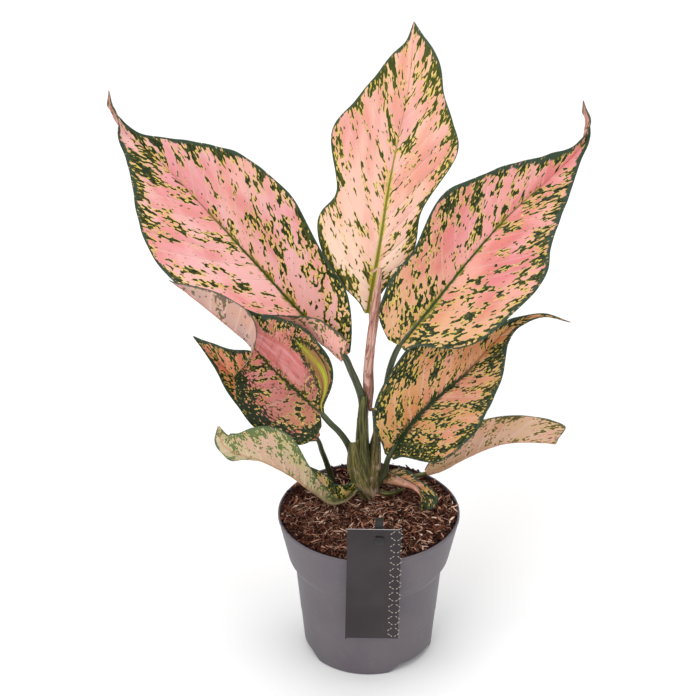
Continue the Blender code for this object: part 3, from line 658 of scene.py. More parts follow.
def stalk(name, points, radii, finish):
    """A fleshy round stem, faintly ribbed, with rounded ends."""
    rough = np.linalg.norm(np.diff(np.array(points, float), axis=0), axis=1).sum() * 0.001
    rings = max(8, round(rough / STEM_STEP))
    shares = np.linspace(0, 1, rings)
    middle, tangent, length = along(points, shares)
    radius = evenly(radii, shares) * 0.001
    side = unit(np.cross(tangent, (0, 1, 0)))
    front = np.cross(side, tangent)
    turn = 2 * np.pi * np.arange(STEM_SIDES) / STEM_SIDES
    drift = np.sin(shares * 9 + len(name))[:, None]
    ribs = 1 + 0.03 * np.sin(5 * turn + drift) + 0.02 * np.sin(9 * turn - 2 * drift)
    ways = side[:, None] * np.cos(turn)[None, :, None] + front[:, None] * np.sin(turn)[None, :, None]
    wall = middle[:, None] + ways * (radius[:, None] * ribs)[..., None]
    caps = [middle[0] - tangent[0] * radius[0] * 0.5, middle[-1] + tangent[-1] * radius[-1] * 0.5]
    index = np.arange(rings * STEM_SIDES).reshape(rings, STEM_SIDES)
    faces = np.stack([index[:-1], np.roll(index[:-1], -1, 1), np.roll(index[1:], -1, 1), index[1:]], -1)
    faces = faces.reshape(-1, 4).tolist()
    tips = (index.size, index.size + 1)
    for tip, row in zip(tips, (index[0][::-1], index[-1])):
        faces += [(int(a), int(b), tip) for a, b in zip(row, np.roll(row, -1))]
    made = add_piece(name, np.concatenate([wall.reshape(-1, 3), caps]), faces, [finish])
    run = np.repeat(shares * length, STEM_SIDES) * 1000
    around = np.stack([np.cos(turn), np.sin(turn)], -1)[None] * radius[:, None, None] * 1000
    place = np.column_stack([run, around.reshape(-1, 2)])
    write_numbers(made, "stem", np.concatenate([place, [(0, 0, 0), (length * 1000, 0, 0)]]), "FLOAT_VECTOR")
    write_numbers(made, "share", np.concatenate([np.repeat(shares, STEM_SIDES), (0, 1)]))
    close_up(made)
    return made


for name, (points, radii, tints) in STEMS.items():
    papery = 0.3 * (name == "petiole_top")  # this one is drying
    piece = stalk(name + "_skin", points, radii, stem_finish(name + "_skin", *tints, papery=papery))
    settle(piece, "stem", name)

for name, (points, radii, opening, opens_to, tints) in SHEATHS.items():
    shares = np.linspace(0, 1, SHEATH_ROWS)
    middle, tangent, length = along(points, shares)
    radius = evenly(radii, shares)[:, None] * 0.001
    back = unit(np.array(opens_to) - (tangent @ np.array(opens_to))[:, None] * tangent)
    side = np.cross(tangent, back)
    wide = math.pi - np.radians(evenly(opening, shares ** 3) / 2)[:, None]
    arc = np.linspace(-1, 1, SHEATH_COLUMNS)[None] * wide
    waves = 1 + 0.04 * np.sin(3.1 * arc + 11 * shares[:, None]) + 0.02 * np.sin(9 * arc)
    ways = back[:, None] * np.cos(arc)[..., None] + side[:, None] * np.sin(arc)[..., None]
    grid = middle[:, None] - ways * (radius * waves)[..., None]
    run = np.broadcast_to(shares[:, None] * length, arc.shape)
    place = np.stack([run, np.cos(arc) * radius, np.sin(arc) * radius], -1) * 1000
    thick = np.full(arc.shape, SHEATH_THICK / 2)
    is_dry = name == "dry_sheath"  # the papery one stands for a node of its own
    papery = 1.0 if is_dry else 0.25
    piece = skinned(name + "_skin", grid, thick, thick, [stem_finish(name + "_skin", *tints, papery=papery)],
                    {"stem": place, "share": np.broadcast_to(shares[:, None], arc.shape)})
    close_up(piece)
    if is_dry:
        settle(piece, "dry_sheath", "dry_sheath")
    else:
        settle(piece, "stem")

# ---------------------------------------------------------------- leaves
# Broad, leathery blades, a little quilted between their side veins, with a channelled midrib that stands out
# underneath. They are pink, flecked along the veins with dark green in yellow-green haloes, and green-edged.

# Shares of the midrib, base to tip, at which each leaf's two half widths are given in millimetres.
STATIONS = (0, 0.04, 0.1, 0.2, 0.3, 0.42, 0.54, 0.66, 0.78, 0.9, 1)
VEIN_LEAN = (-20, -15, -5, 14, 25, 33, 38, 44, 50, 58, 65)
VEIN_BEND = 0.12
BLADE_THICK = 0.00055
RIB_DEEP = 0.0013
NARROW = 0.0045
LEAF_ROWS = 190
HALF_COLUMNS = 23
QUILT = 0.0007  # how far the blade swells between its side veins
RUFFLE = 0.0008  # how far its margin waves
TO_FRONT = (0, -0.87, 0.49)
PLAIN_CURL = (10,)  # how far a half curls up from midrib to margin, in degrees, where the leaf doesn't say
TIP_ROLL = (0,) * 12 + (60, 165, 180)  # the last fifth turns over

LEAVES = {
    "top": dict(
        midrib=((-1, 30, 236), (7, 45, 280), (12, 55, 312), (18, 64, 343), (25, 74, 378), (28, 88, 414)),
        left=(2, 8, 25, 44, 36, 50, 41, 32, 22, 8, 0.6),
        right=(2, 4, 9, 23, 26, 47, 41, 31, 25, 12, 0.6),
        left_fold=(15, 5, 0, 5, 10), right_fold=(15, 5, 0, 5, 10),
        left_curl=(5,), right_curl=(5,),
    ),
    "upper_left": dict(
        midrib=((-16, 16, 212), (-43, 29, 235), (-72, 42, 264), (-103, 54, 296), (-137, 62, 332),
                (-157, 61, 352), (-163, 54, 368), (-163, 46, 385)),
        roll=TIP_ROLL,
        left=(27, 28, 30, 43, 54, 55, 43, 28, 13, 5, 0.6),
        right=(5, 17, 32, 43, 55, 54, 41, 23, 9, 5, 0.6),
        left_fold=(24, 24, 24, 18, 14, 12, 12, 12, 12, 12, 14, 18, 20), right_fold=(20, 20, 15, 10, 20),
        left_curl=(215, 175, 105, 38, 14, 10, 10, 10, 10, 10, 10, 10, 10),
    ),
    "upper_right": dict(
        midrib=((20, 14, 221), (43, 26, 247), (66, 38, 273), (89, 48, 297), (116, 56, 321),
                (134, 56, 343), (136, 50, 360), (133, 42, 380)),
        roll=TIP_ROLL,
        left=(10, 25, 33, 36, 47, 39, 28, 17, 6, 5, 0.6),
        right=(5, 11, 33, 48, 52, 40, 29, 17, 7, 5, 0.6),
        left_fold=(20, 15, 10, 20), right_fold=(20, 15, 10, 20),
    ),
    "right_middle": dict(
        midrib=((14, 10, 140), (29, 13, 164), (44, 18, 179), (63, 24, 194), (82, 32, 214),
                (95, 36, 225), (113, 38, 230), (131, 38, 225)),
        left=(4, 10, 23, 37, 44, 40, 28, 11, 4, 2, 0.6),
        right=(4, 9, 29, 38, 35, 27, 18, 9, 5, 2, 0.6),
        left_fold=(20, 15, 10, 20), right_fold=(20, 15, 10, 20),
    ),
    "middle_left": dict(
        midrib=((-32, 8, 174), (-47, 11, 188), (-64, 8, 209), (-78, -2, 233), (-93, -12, 254),
                (-114, -22, 279), (-124, -25, 289)),
        lean=(-52, -38, -12, 14, 25, 33, 38, 44, 50, 58, 65),
        roll=(0, 0, 0, 0, 8, 40, 85, 92, 92, 90, 90),
        left=(10, 26, 35, 36, 29, 23, 17, 15, 12, 6, 0.6),
        right=(3, 9, 28, 38, 41, 34, 19, 13, 9, 5, 0.6),
        left_fold=(12, 12, 12, 14, 20, 42, 60, 60, 56, 46, 30),
        right_fold=(22, 22, 22, 22, 24, 42, 60, 60, 56, 46, 30),
        left_curl=(10, 10, 10, 10, 12, 22, 32, 32, 32, 24, 10),
        right_curl=(10, 10, 10, 10, 12, 22, 32, 32, 32, 24, 10),
    ),
    "left_small": dict(
        midrib=((-34, 20, 147), (-56, 28, 156), (-77, 33, 171), (-97, 36, 194), (-115, 38, 214)),
        left=(2, 5, 10, 16, 17, 14, 12, 9, 6, 3, 0.6),
        right=(3, 9, 18, 25, 31, 34, 29, 20, 13, 6, 0.6),
        left_fold=(15,), right_fold=(20,),
    ),
    "lower_left": dict(
        midrib=((-9, 8, 115), (-15, 4, 110), (-23, -1, 110), (-35, -9.5, 123.8), (-55, -21, 147.1),
                (-72, -27, 160.5), (-87, -29, 167), (-94, -26, 171), (-97, -19, 180)),
        face=((0, -0.5, 0.9), (0, -0.3, 1), (0, 0.1, 1), (0, 0.8, 0.6), (0, 1, 0.2), (0, 1, 0), (0, 1, 0)),
        lean=(-50, -40, -15, 14, 25, 33, 36, 34, 26, 14, 0),
        left=(8, 9, 8, 7, 8, 13, 24, 23, 15, 8, 0.6),
        right=(8, 10, 12, 14, 15, 16, 17, 15, 11, 6, 0.6),
        left_fold=(50, 60, 60, 40, 20, 10), right_fold=(50, 50, 45, 30, 15, 0),
    ),
    "lower_right": dict(
        midrib=((39, 34, 111), (48, 35, 113), (63, 38, 120), (92, 42, 130), (117, 44, 129), (126, 44, 128)),
        face=((0, 0.9, 0.2),),
        lean=(-20, -15, -5, 14, 25, 33, 38, 40, 46, 54, 40),
        left=(2, 3, 4, 5, 6, 7, 8, 8, 7, 5, 0.6),
        right=(3, 7, 12, 20, 23, 22, 21, 21, 21, 17, 0.6),
        left_fold=(70,), right_fold=(15,),
    ),
    "soil_right": dict(
        midrib=((9, 20, 114), (22, 12, 116), (31, 4, 117), (35, -1, 114), (34, -4, 107)),
        face=((0.3, 0, 1),),
        lean=(-20, -15, -5, 14, 25, 33, 38, 40, 38, 30, 20),
        left=(4, 9, 12, 13, 12, 9, 8, 10, 11, 6, 0.6),
        right=(2, 5, 8, 8, 6, 5, 4, 4, 3, 2, 0.6),
        left_fold=(20,), right_fold=(75,),
    ),
}

# Each leaf's flesh, its paler middle (which also serves as the painted light on one side of each swell between
# side veins), the haloes, the flecks and the midrib; then how much of it the flecks cover, the green margin's width
# and how far in its flecks reach in millimetres, how far up the midrib stays green, and the side veins' spacing in
# millimetres.
SKINS = {
    "top": ((224, 151, 136), (236, 185, 166), (214, 194, 78), (58, 66, 14), (118, 118, 36),
     -0.46, 1.0, 8, 0.62, 13),
    "upper_left": ((220, 140, 138), (233, 177, 175), (206, 186, 64), (28, 40, 8), (52, 66, 10),
     -0.35, 1.7, 8, 0.58, 11),
    "upper_right": ((210, 118, 116), (226, 156, 152), (190, 176, 58), (26, 38, 8), (44, 62, 12),
     -0.34, 2.6, 10, 0.6, 11),
    "right_middle": ((196, 130, 80), (208, 150, 104), (184, 168, 54), (20, 34, 6), (24, 42, 8),
     -0.18, 2.0, 9, 0.55, 9),
    "middle_left": ((200, 106, 92), (216, 134, 126), (194, 172, 66), (24, 34, 6), (38, 48, 10),
     -0.26, 2.6, 8, 0.5, 9),
    "left_small": ((216, 128, 94), (222, 134, 102), (198, 172, 72), (32, 46, 14), (96, 72, 34),
     -0.36, 1.6, 5, 0.4, 7),
    "lower_left": ((186, 156, 76), (196, 168, 92), (188, 176, 62), (28, 40, 12), (34, 50, 18),
     0.1, 1.6, 8, 0.6, 8),
    "lower_right": ((212, 142, 102), (218, 158, 120), (190, 174, 70), (32, 48, 18), (50, 70, 26),
     0.0, 1.4, 7, 0.6, 8),
    "soil_right": ((176, 112, 70), (190, 126, 84), (164, 146, 58), (30, 40, 16), (50, 62, 26),
     0.08, 1.2, 6, 0.5, 7),
}
# The undersides are paler and greyer, and the flecks only show through faintly.
UNDERSIDES = {
    "top": ((206, 160, 142), (212, 172, 156), (186, 166, 110), (108, 112, 72), (150, 130, 98),
     -0.4, 0.5, 4, 0.5, 13),
    "upper_left": ((206, 148, 132), (214, 162, 148), (190, 156, 120), (92, 80, 62), (170, 126, 106),
     -0.62, 1.6, 5, 0.5, 11),
    "upper_right": ((206, 148, 134), (214, 162, 150), (190, 156, 120), (96, 84, 64), (170, 126, 106),
     -0.5, 0.9, 7, 0.5, 11),
    "right_middle": ((200, 154, 122), (206, 164, 136), (178, 162, 98), (86, 96, 56), (132, 114, 78),
     -0.3, 0.9, 6, 0.5, 9),
    "middle_left": ((188, 150, 140), (198, 164, 154), (184, 154, 138), (118, 98, 86), (176, 138, 122),
     -0.6, 0.7, 5, 0.3, 9),
    "left_small": ((200, 144, 118), (206, 152, 128), (184, 158, 102), (90, 94, 58), (132, 112, 78),
     -0.3, 0.8, 4, 0.4, 7),
    "lower_left": ((182, 168, 126), (194, 176, 140), (178, 174, 116), (98, 114, 70), (170, 152, 116),
     -0.34, 1.1, 8, 0.35, 8),
    "lower_right": ((208, 170, 138), (214, 172, 146), (200, 178, 116), (98, 84, 50), (184, 146, 112),
     -0.5, 0.8, 5, 0.3, 8),
    "soil_right": ((204, 150, 128), (210, 160, 138), (186, 154, 104), (120, 96, 66), (170, 128, 98),
     -0.5, 0.7, 4, 0.3, 7),
}
# How fine its flecks are, how wide its green midrib is and how dark beside it, and the tint that its base fades
# to and how much; then how steeply the pattern climbs from the midrib, from base to tip.
HABITS = {
    "top": (1.15, 0.85, 0.1, (244, 222, 198), 0.8, (0.9, 0.7, 0.45, 0.35, 0.3)),
    "upper_left": (1.1, 0.78, 0.6, (226, 150, 128), 0.2, (0.5, 0.35, 0.3)),
    "upper_right": (1.1, 0.75, 0.5, (196, 176, 60), 0.4, (0.7, 0.4, 0.3)),
    "right_middle": (1.45, 1.3, 1.0, (170, 130, 62), 0.3, (0.5, 0.4, 0.3)),
    "middle_left": (1.35, 0.6, 0.9, (120, 84, 48), 0.5, (0.3,)),
    "left_small": (1.4, 0.5, 0.8, (190, 120, 80), 0.2, (0.2,)),
    "lower_left": (1.6, 0.7, 0.6, (170, 160, 110), 0.3, (0.2,)),
    "lower_right": (1.9, 0.7, 0.5, (180, 150, 110), 0.3, (0.2,)),
    "soil_right": (1.5, 0.6, 0.6, (170, 120, 80), 0.2, (0.2,)),
}


def blade_grid(leaf, shares, columns):
    """The blade's middle surface, from base to tip and from the left margin to the right one.

    With it come the way out along the vein and the distance from the margin at each point, in millimetres.
    """
    middle, tangent, length = along(leaf["midrib"], shares)
    facing = evenly(leaf.get("face", (TO_FRONT,)), shares)
    normal = unit(facing - (facing * tangent).sum(1)[:, None] * tangent)
    roll = np.radians(evenly(leaf.get("roll", (0,)), shares))[:, None]
    normal = normal * np.cos(roll) + np.cross(tangent, normal) * np.sin(roll)
    right = np.cross(tangent, normal)
    lean = np.radians(through(STATIONS, leaf.get("lean", VEIN_LEAN), shares))[:, None]
    halves, outs, edges = [], [], []
    for side, sign in (("left", -1), ("right", 1)):
        width = np.maximum(through(STATIONS, leaf[side], shares), 0.5) * 0.001
        ease = np.minimum(1, width / NARROW)
        fold = np.radians(evenly(leaf[side + "_fold"], shares)) * ease
        curl = np.radians(evenly(leaf.get(side + "_curl", PLAIN_CURL), shares)) * ease
        across = right * sign * np.cos(lean) + tangent * np.sin(lean)
        places = []
        for u in columns:
            out = width * (np.sin(fold + curl * u) - np.sin(fold)) / curl
            up = -width * (np.cos(fold + curl * u) - np.cos(fold)) / curl
            bend = VEIN_BEND * width * u * u
            places.append(middle + across * out[:, None] + normal * up[:, None] + tangent * bend[:, None])
        halves.append(places)
        outs.append([sign * width * u for u in columns])
        to_tip = (1 - shares) * length * 0.8 + 0.0003
        edges.append([np.minimum(width * (1 - u) * np.cos(lean[:, 0]), to_tip) for u in columns])
    grid, outs, edges = (np.stack(left[:0:-1] + right, axis=1) for left, right in (halves, outs, edges))
    return grid, outs * 1000, edges * 1000, length


def leaf_places(tree):
    """What the blade stores: the run down it, the way out from the midrib, the way to the margin, and the share."""
    vein = add(tree, "ShaderNodeAttribute", out="Vector", attribute_name="vein")
    split = add(tree, "ShaderNodeSeparateXYZ", [vein]).socket.node
    share = add(tree, "ShaderNodeAttribute", out="Fac", attribute_name="share")
    return vein, *(Wire(tree, split.outputs[k]) for k in range(3)), share


variegation = bpy.data.node_groups.new("variegation", "ShaderNodeTree")
tree = variegation
TINTS = ("Flesh", "Middle", "Halo", "Fleck", "Rib", "Base")
AMOUNTS = ("Cover", "Margin", "Reach", "Rib Reach", "Spacing", "Fineness", "Rib Width", "Rib Dark", "Base Share", "Seed")
for label in TINTS:
    tree.interface.new_socket(label, in_out="INPUT", socket_type="NodeSocketColor")
for label in AMOUNTS:
    tree.interface.new_socket(label, in_out="INPUT", socket_type="NodeSocketFloat")
tree.interface.new_socket("Colour", in_out="OUTPUT", socket_type="NodeSocketColor")
tree.interface.new_socket("Height", in_out="OUTPUT", socket_type="NodeSocketFloat")
start = tree.nodes.new("NodeGroupInput")
given = {socket.name: Wire(tree, socket) for socket in start.outputs if socket.name}
_, down, sideways, edge, share = leaf_places(tree)
out = sideways.calc("ABSOLUTE")
small_down, small_sideways = down * given["Fineness"], sideways * given["Fineness"]


def leaf_place(across, outwards, shift):
    """Where a texture is read, at these frequencies per millimetre across the side veins and along them."""
    return add(tree, "ShaderNodeCombineXYZ", [small_down * across, small_sideways * outwards, given["Seed"] + shift])


def leaf_noise(across, outwards, shift, detail=2, rough=0.5):
    return noise(tree, leaf_place(across, outwards, shift), 1.0, detail, rough)


fine = leaf_noise(0.43, 0.32, 0, 1)
clusters = leaf_noise(0.12, 0.075, 7.3, 2, 0.55)
patches = leaf_noise(0.045, 0.045, 17.3, 1)
broad = leaf_noise(0.035, 0.05, 21.7)
wander = leaf_noise(0.11, 0.02, 31.9, 2, 0.6)
cell = add(tree, "ShaderNodeTexVoronoi", {"Vector": leaf_place(0.46, 0.4, 3.1), "Scale": 1.0}, out="Distance")
hue_cell = add(tree, "ShaderNodeTexNoise", {"Vector": leaf_place(0.5, 0.4, 41.3), "Scale": 1.0, "Detail": 0.0})
row = (down / given["Spacing"] + sideways.calc("GREATER_THAN", 0.0) * 0.5).calc("FRACT")
off_vein = (row - 0.5).calc("ABSOLUTE") * given["Spacing"] * -1 + given["Spacing"] * 0.5
near_vein = off_vein.between(0.25, 1.8) * -1 + 1

half_width = out + edge
reach = given["Reach"].calc("MINIMUM", half_width * 0.45 + 0.2)
near_edge = (edge / reach * -1).calc("EXPONENT")
near_rib = ((out * -0.35).calc("EXPONENT")) * ((share / given["Rib Reach"]).between(0.6, 1.2) * -1 + 1)
field = (clusters - 0.5) * 4.3 + (patches - 0.5) * 1.4 + near_edge * 1.05 + near_vein * 0.08 + near_rib * 0.3
field = (field + given["Cover"] + share.between(0.0, 0.35) * -0.2 + 0.16).calc("MINIMUM", 0.88)
grain = (fine - 0.5) * 3.0 + (cell - 0.42) * 1.7
dark = (field + grain).between(0.42, 0.52)
halo = (field * 1.4 + grain).between(0.2, 0.31)
glow = field.between(-0.25, 0.6)
margin_width = (given["Margin"] * (wander * 3.0 - 0.6)).calc("MAXIMUM", 0.35).calc("MINIMUM", half_width * 0.3)
margin = (edge / margin_width).between(0.75, 1.15) * -1 + 1
hole = (cell.between(0.18, 0.32) * -1 + 1) * hue_cell.between(0.36, 0.44)

ground = mix(tree, broad.between(0.35, 0.65), given["Flesh"], given["Middle"])
# painted shade of the quilting: across each band between side veins the flesh goes from darker at one vein to the
# paler middle tint at the next, as if each swell were lit on one side
quilt_painted_shade = row.between(0.02, 0.98) * broad.between(0.3, 0.7)
ground = mix(tree, quilt_painted_shade * 0.5, ground, given["Middle"])
tinge = leaf_noise(0.022, 0.03, 51.3, 1)
ground = mix(tree, tinge.between(0.5, 0.7) * 0.3, ground, colour(222, 134, 152))
ground = mix(tree, tinge.between(0.48, 0.28) * 0.3, ground, colour(228, 152, 106))
ground = mix(tree, near_vein * 0.2, ground, colour(248, 212, 196))
base = share.between(0.4, 0.02) * broad.between(0.2, 0.55) * given["Base Share"]
ground = mix(tree, base, ground, given["Base"])
ground = mix(tree, glow * 0.3, ground, given["Halo"])
yellow = mix(tree, hue_cell.between(0.35, 0.65) * 0.7, given["Halo"], colour(232, 190, 138))
ground = mix(tree, halo * 0.95, ground, yellow)
fleck = mix(tree, hue_cell.between(0.45, 0.7) * 0.45, given["Fleck"], colour(104, 104, 34))
speckled = mix(tree, dark * (hole * -0.8 + 1), ground, fleck)
deep = mix(tree, 0.45, given["Fleck"], colour(66, 88, 70))
edged = mix(tree, margin * (hole * -0.85 + 1), speckled, deep)

rib_width = ((share * -1 + 1) * 1.8 + 0.25) * given["Rib Width"] * ((fine - 0.5) * given["Rib Dark"] * 1.8 + 1)
fade = (share / given["Rib Reach"]).between(0.7, 1.15)
rib = (out / rib_width).between(0.5, 1.1) * -1 + 1
ragged = (clusters - 0.5) * 8.0 + (fine - 0.5) * given["Rib Dark"] * 7.0
rib_halo = (out / (rib_width * 2.2 + ragged)).between(0.35, 1.05) * -1 + 1
beside = mix(tree, given["Rib Dark"], given["Halo"], given["Fleck"])
green_ribbed = mix(tree, rib_halo * (fade * -1 + 1) * 0.75, edged, beside)
green_ribbed = mix(tree, rib * (fade * -1 + 1), green_ribbed, given["Rib"])
thin_rib = (out / 0.5).between(0.4, 1.2) * -1 + 1
ribbed = mix(tree, thin_rib * fade * 0.55, green_ribbed, mix(tree, 0.5, given["Rib"], colour(184, 88, 62)))
end = tree.nodes.new("NodeGroupOutput")
tree.links.new(ribbed.socket, end.inputs[0])
tree.links.new((dark * -0.15 + off_vein.between(0.0, 1.2) * 0.6 + fine * 0.3).socket, end.inputs[1])


def leaf_finish(name, skin, habit, seed, roughness, relief):
    made, tree = new_finish(name, roughness, Specular_IOR_Level=0.25)
    pattern = tree.nodes.new("ShaderNodeGroup")
    pattern.node_tree = variegation
    fineness, wide, dark, base, much, _ = habit
    for label, value in zip(TINTS + AMOUNTS, (*skin[:5], base, *skin[5:], fineness, wide, dark, much, seed)):
        pattern.inputs[label].default_value = colour(*value) if label in TINTS else value
    hue, height = (Wire(tree, socket) for socket in pattern.outputs)
    if name == "leaf_middle_left_face":
        hue = flamed(tree, hue)
    wear(tree, Base_Color=hue, Normal=bump(tree, height, relief))
    return made


def flamed(tree, hue):
    """A plain pink panel beside the midrib on one half, then a yellow-green and brown flame along its margin."""
    vein, down, sideways, edge, share = leaf_places(tree)
    at = sideways / (sideways.calc("ABSOLUTE") + edge)
    streak = add(tree, "ShaderNodeCombineXYZ", [down * 0.035, at * 9.0, 4.0])
    streaks = noise(tree, streak, 1.0, 3, 0.6)
    wobble = noise(tree, add(tree, "ShaderNodeCombineXYZ", [down * 0.12, 0.0, 9.0]), 1.0, 2) * 0.16 - 0.08
    at = at + wobble
    flesh = mix(tree, streaks.between(0.4, 0.6), colour(206, 112, 108), colour(226, 150, 150))
    plain = at.between(0.06, 0.12) * at.between(0.6, 0.5) * share.between(0.1, 0.2) * share.between(0.85, 0.66)
    hue = mix(tree, plain * 0.92, hue, flesh)
    spots = add(tree, "ShaderNodeTexVoronoi", {"Vector": vein, "Scale": 0.55}, out="Distance")
    wall = (at * -1 + (spots - 0.4) * 0.7).between(0.76, 0.8) * share.between(0.95, 0.7)
    dots = spots.between(0.3, 0.24)
    hue = mix(tree, wall, hue, mix(tree, dots, colour(26, 38, 8), colour(176, 160, 60)))
    flame = mix(tree, streaks.between(0.42, 0.56), colour(158, 110, 66), colour(160, 150, 52))
    flame = mix(tree, streaks.between(0.57, 0.62), flame, colour(176, 182, 44))
    flame = mix(tree, streaks.between(0.4, 0.36), flame, colour(36, 50, 14))
    bank = add(tree, "ShaderNodeMath", [at, 0.72], operation="SUBTRACT").calc("ABSOLUTE")
    round_lens = bank * 0.95 + (share - 0.12).calc("ABSOLUTE") * 1.25 + (spots - 0.4) * 0.12
    hue = mix(tree, round_lens.between(0.3, 0.27) * 0.9, hue, colour(30, 44, 10))
    lens = round_lens.between(0.23, 0.19)
    return mix(tree, lens * 0.95, hue, flame)


for k, (name, leaf) in enumerate(LEAVES.items()):
    shares = 0.5 - 0.5 * np.cos(np.pi * np.linspace(0.06, 0.94, LEAF_ROWS))
    shares = (shares - shares[0]) / (shares[-1] - shares[0])
    columns = np.linspace(0, 1, HALF_COLUMNS)
    columns = 0.55 * columns + 0.45 * columns ** 2 * (3 - 2 * columns)
    grid, outs, edges, length = blade_grid(leaf, shares, columns)
    spacing = SKINS[name][-1]
    lean = np.radians(through(STATIONS, leaf.get("lean", VEIN_LEAN), shares))
    steps = np.diff(shares, prepend=0) * length * 1000 * np.cos(lean)
    climb = evenly(HABITS[name][-1], shares)[:, None] * np.abs(outs)
    run = np.cumsum(steps)[:, None] - climb  # the way across the side veins
    out_share = np.abs(outs) / (np.abs(outs) + edges + 0.01)
    vein_row = (run / spacing + 0.5 * (outs > 0)) % 1
    calm = np.clip((1 - shares) * 12, 0, 1)[:, None] * np.clip(shares * 14, 0, 1)[:, None]
    swell = np.sqrt(np.sin(np.pi * vein_row)) * np.sin(np.pi * out_share ** 0.8) * calm
    wave = np.sin(2 * np.pi * run / 41 + 1.7 * k + 2 * (outs > 0)) + 0.5 * np.sin(2 * np.pi * run / 19 + k)
    wave = wave * out_share ** 3 * calm * np.clip(np.abs(outs) / 20, 0, 1)
    channel = np.exp(-(outs / 1.2) ** 2) * (1 - shares[:, None]) ** 0.6
    rise = QUILT * swell + RUFFLE * wave - 0.0005 * channel
    facing = unit(np.cross(np.gradient(grid, axis=1), np.gradient(grid, axis=0)))
    grid = grid + facing * rise[..., None]
    thick = BLADE_THICK / 2 * (1 - 0.5 * out_share ** 2)
    rib = RIB_DEEP * np.exp(-(outs / 1.3) ** 2) * (1 - shares[:, None]) ** 0.7
    finishes = [leaf_finish("leaf_%s_face" % name, SKINS[name], HABITS[name], 40.0 * k, 0.46, 0.0005),
                leaf_finish("leaf_%s_back" % name, UNDERSIDES[name], HABITS[name], 40.0 * k, 0.55, 0.0006)]
    stored = {"vein": np.stack([run, outs, edges], -1), "share": np.broadcast_to(shares[:, None], outs.shape)}
    piece = skinned("blade_" + name, grid, thick, thick + rib, finishes, stored)
    settle(piece, "leaf", "leaf_" + name)

# ---------------------------------------------------------------- hang label
# A laminated dark card, bare but for a lattice of short foil strokes down its right side. It hangs by a black
# plastic strap, which goes through a slit in the card, over the rim and down into the filling.
CARD_WIDTH = 0.0368
CARD_THICK = 0.0007
CARD_TOP = np.array((0.0031, -0.0630, 0.1311))
CARD_BOTTOM = np.array((0.0015, -0.0580, 0.0404))
SLIT_BELOW_TOP = 0.0075
HANGER_WIDTH = 0.0052
HANGER_THICK = 0.0011
HANGER_X = 0.0062
HANGER_Y = -0.0525
HANGER_FOOT = 0.084
LATTICE_ROWS = 18
LATTICE_INSETS = (0.0019, 0.0065)  # the two columns' distances from the card's right edge
STROKE = (0.0018, 0.00042, 0.00006)  # length, width, thickness
LATTICE_PITCH = 0.0049
LATTICE_FROM_TOP = 0.0034
STROKE_TILT = 0.7  # radians from level
CARD_CORNER = 0.0011
CARD_BEVEL = 0.00012
SLIT_HALF_HEIGHT = 0.0012
STRAP_LIP = 0.00025

card_face, tree = new_finish("card_face", 0.42, Specular_IOR_Level=0.3, Base_Color=colour(45, 38, 41))
place = add(tree, "ShaderNodeTexCoord", out="Object")
wear(tree, Base_Color=mix(tree, noise(tree, place, 40, 2).between(0.3, 0.7), colour(42, 35, 38), colour(51, 44, 47)))
card_core = new_finish("card_core", 0.6, Base_Color=colour(196, 192, 194))[0]
down = unit(CARD_BOTTOM - CARD_TOP)
height = np.linalg.norm(CARD_BOTTOM - CARD_TOP)
across = unit(np.cross(down, (0, 1, 0)))
ahead = np.cross(down, across)
if ahead[1] > 0:
    ahead = -ahead
outline = []
for x, at_foot, start in ((1, 0, 90), (-1, 0, 180), (-1, 1, 270), (1, 1, 0)):
    fall = height - CARD_CORNER if at_foot else CARD_CORNER
    centre = CARD_TOP + across * x * (CARD_WIDTH / 2 - CARD_CORNER) + down * fall
    for turn in np.radians(start + np.linspace(0, 90, 6)):
        outline.append(centre + CARD_CORNER * (math.cos(turn) * across - math.sin(turn) * down))
outline = np.array(outline)
count = len(outline)
middle = outline.mean(axis=0)
small = outline + unit(middle - outline) * CARD_BEVEL
layers = [small + ahead * CARD_THICK / 2, outline + ahead * (CARD_THICK / 2 - CARD_BEVEL),
          outline - ahead * (CARD_THICK / 2 - CARD_BEVEL), small - ahead * CARD_THICK / 2]
faces = [tuple(range(count)), tuple(3 * count + k for k in range(count))[::-1]]
slots = [0, 0] + [0] * count + [1] * count + [0] * count  # the cut edge shows the core
card = add_piece("card", np.concatenate(layers), faces + sleeve(len(layers), count), [card_face, card_core], slots)
slit = CARD_TOP + down * SLIT_BELOW_TOP
half = HANGER_WIDTH / 2 + CLEARANCE
points = [
    (HANGER_X + x * half, y, slit[2] + z * SLIT_HALF_HEIGHT)
    for x in (-1, 1) for y in (-0.07, -0.055) for z in (-1, 1)
]
faces = [(0, 1, 3, 2), (4, 6, 7, 5), (0, 4, 5, 1), (2, 3, 7, 6), (0, 2, 6, 4), (1, 5, 7, 3)]
slit_cutter = add_piece("slit_cutter", points, faces)
for piece in (card, slit_cutter):
    close_up(piece)
cut(card, [slit_cutter])
card.data.set_sharp_from_angle(angle=math.radians(30))
settle(card, "label_card", "label_card")

foil = new_finish("foil_strokes", 0.35, Base_Color=colour(178, 168, 156), Specular_IOR_Level=0.6)[0]
centres, leans = [], []
for k in range(LATTICE_ROWS):
    for column, inset in enumerate(LATTICE_INSETS):
        lean = 1 if (k + column) % 2 else -1
        for step in (-0.6 * STROKE[0], 0.6 * STROKE[0]):
            off = step * (across * math.cos(STROKE_TILT) * lean - down * math.sin(STROKE_TILT))
            fall = LATTICE_FROM_TOP + k * LATTICE_PITCH
            spot = CARD_TOP + across * (CARD_WIDTH / 2 - inset) + down * fall
            centres.append(spot + off + ahead * CARD_THICK / 2)
            leans.append(lean)
dots = add_piece("lattice_dots", centres, [])
write_numbers(dots, "lean", leans)
lattice, given = new_tree("lattice_strokes", {
    "Length": "Float", "Width": "Float", "Thickness": "Float", "Card Turn": "Vector", "Finish": "Material"})
size = add(lattice, "ShaderNodeCombineXYZ", [given["Length"], given["Thickness"], given["Width"]])
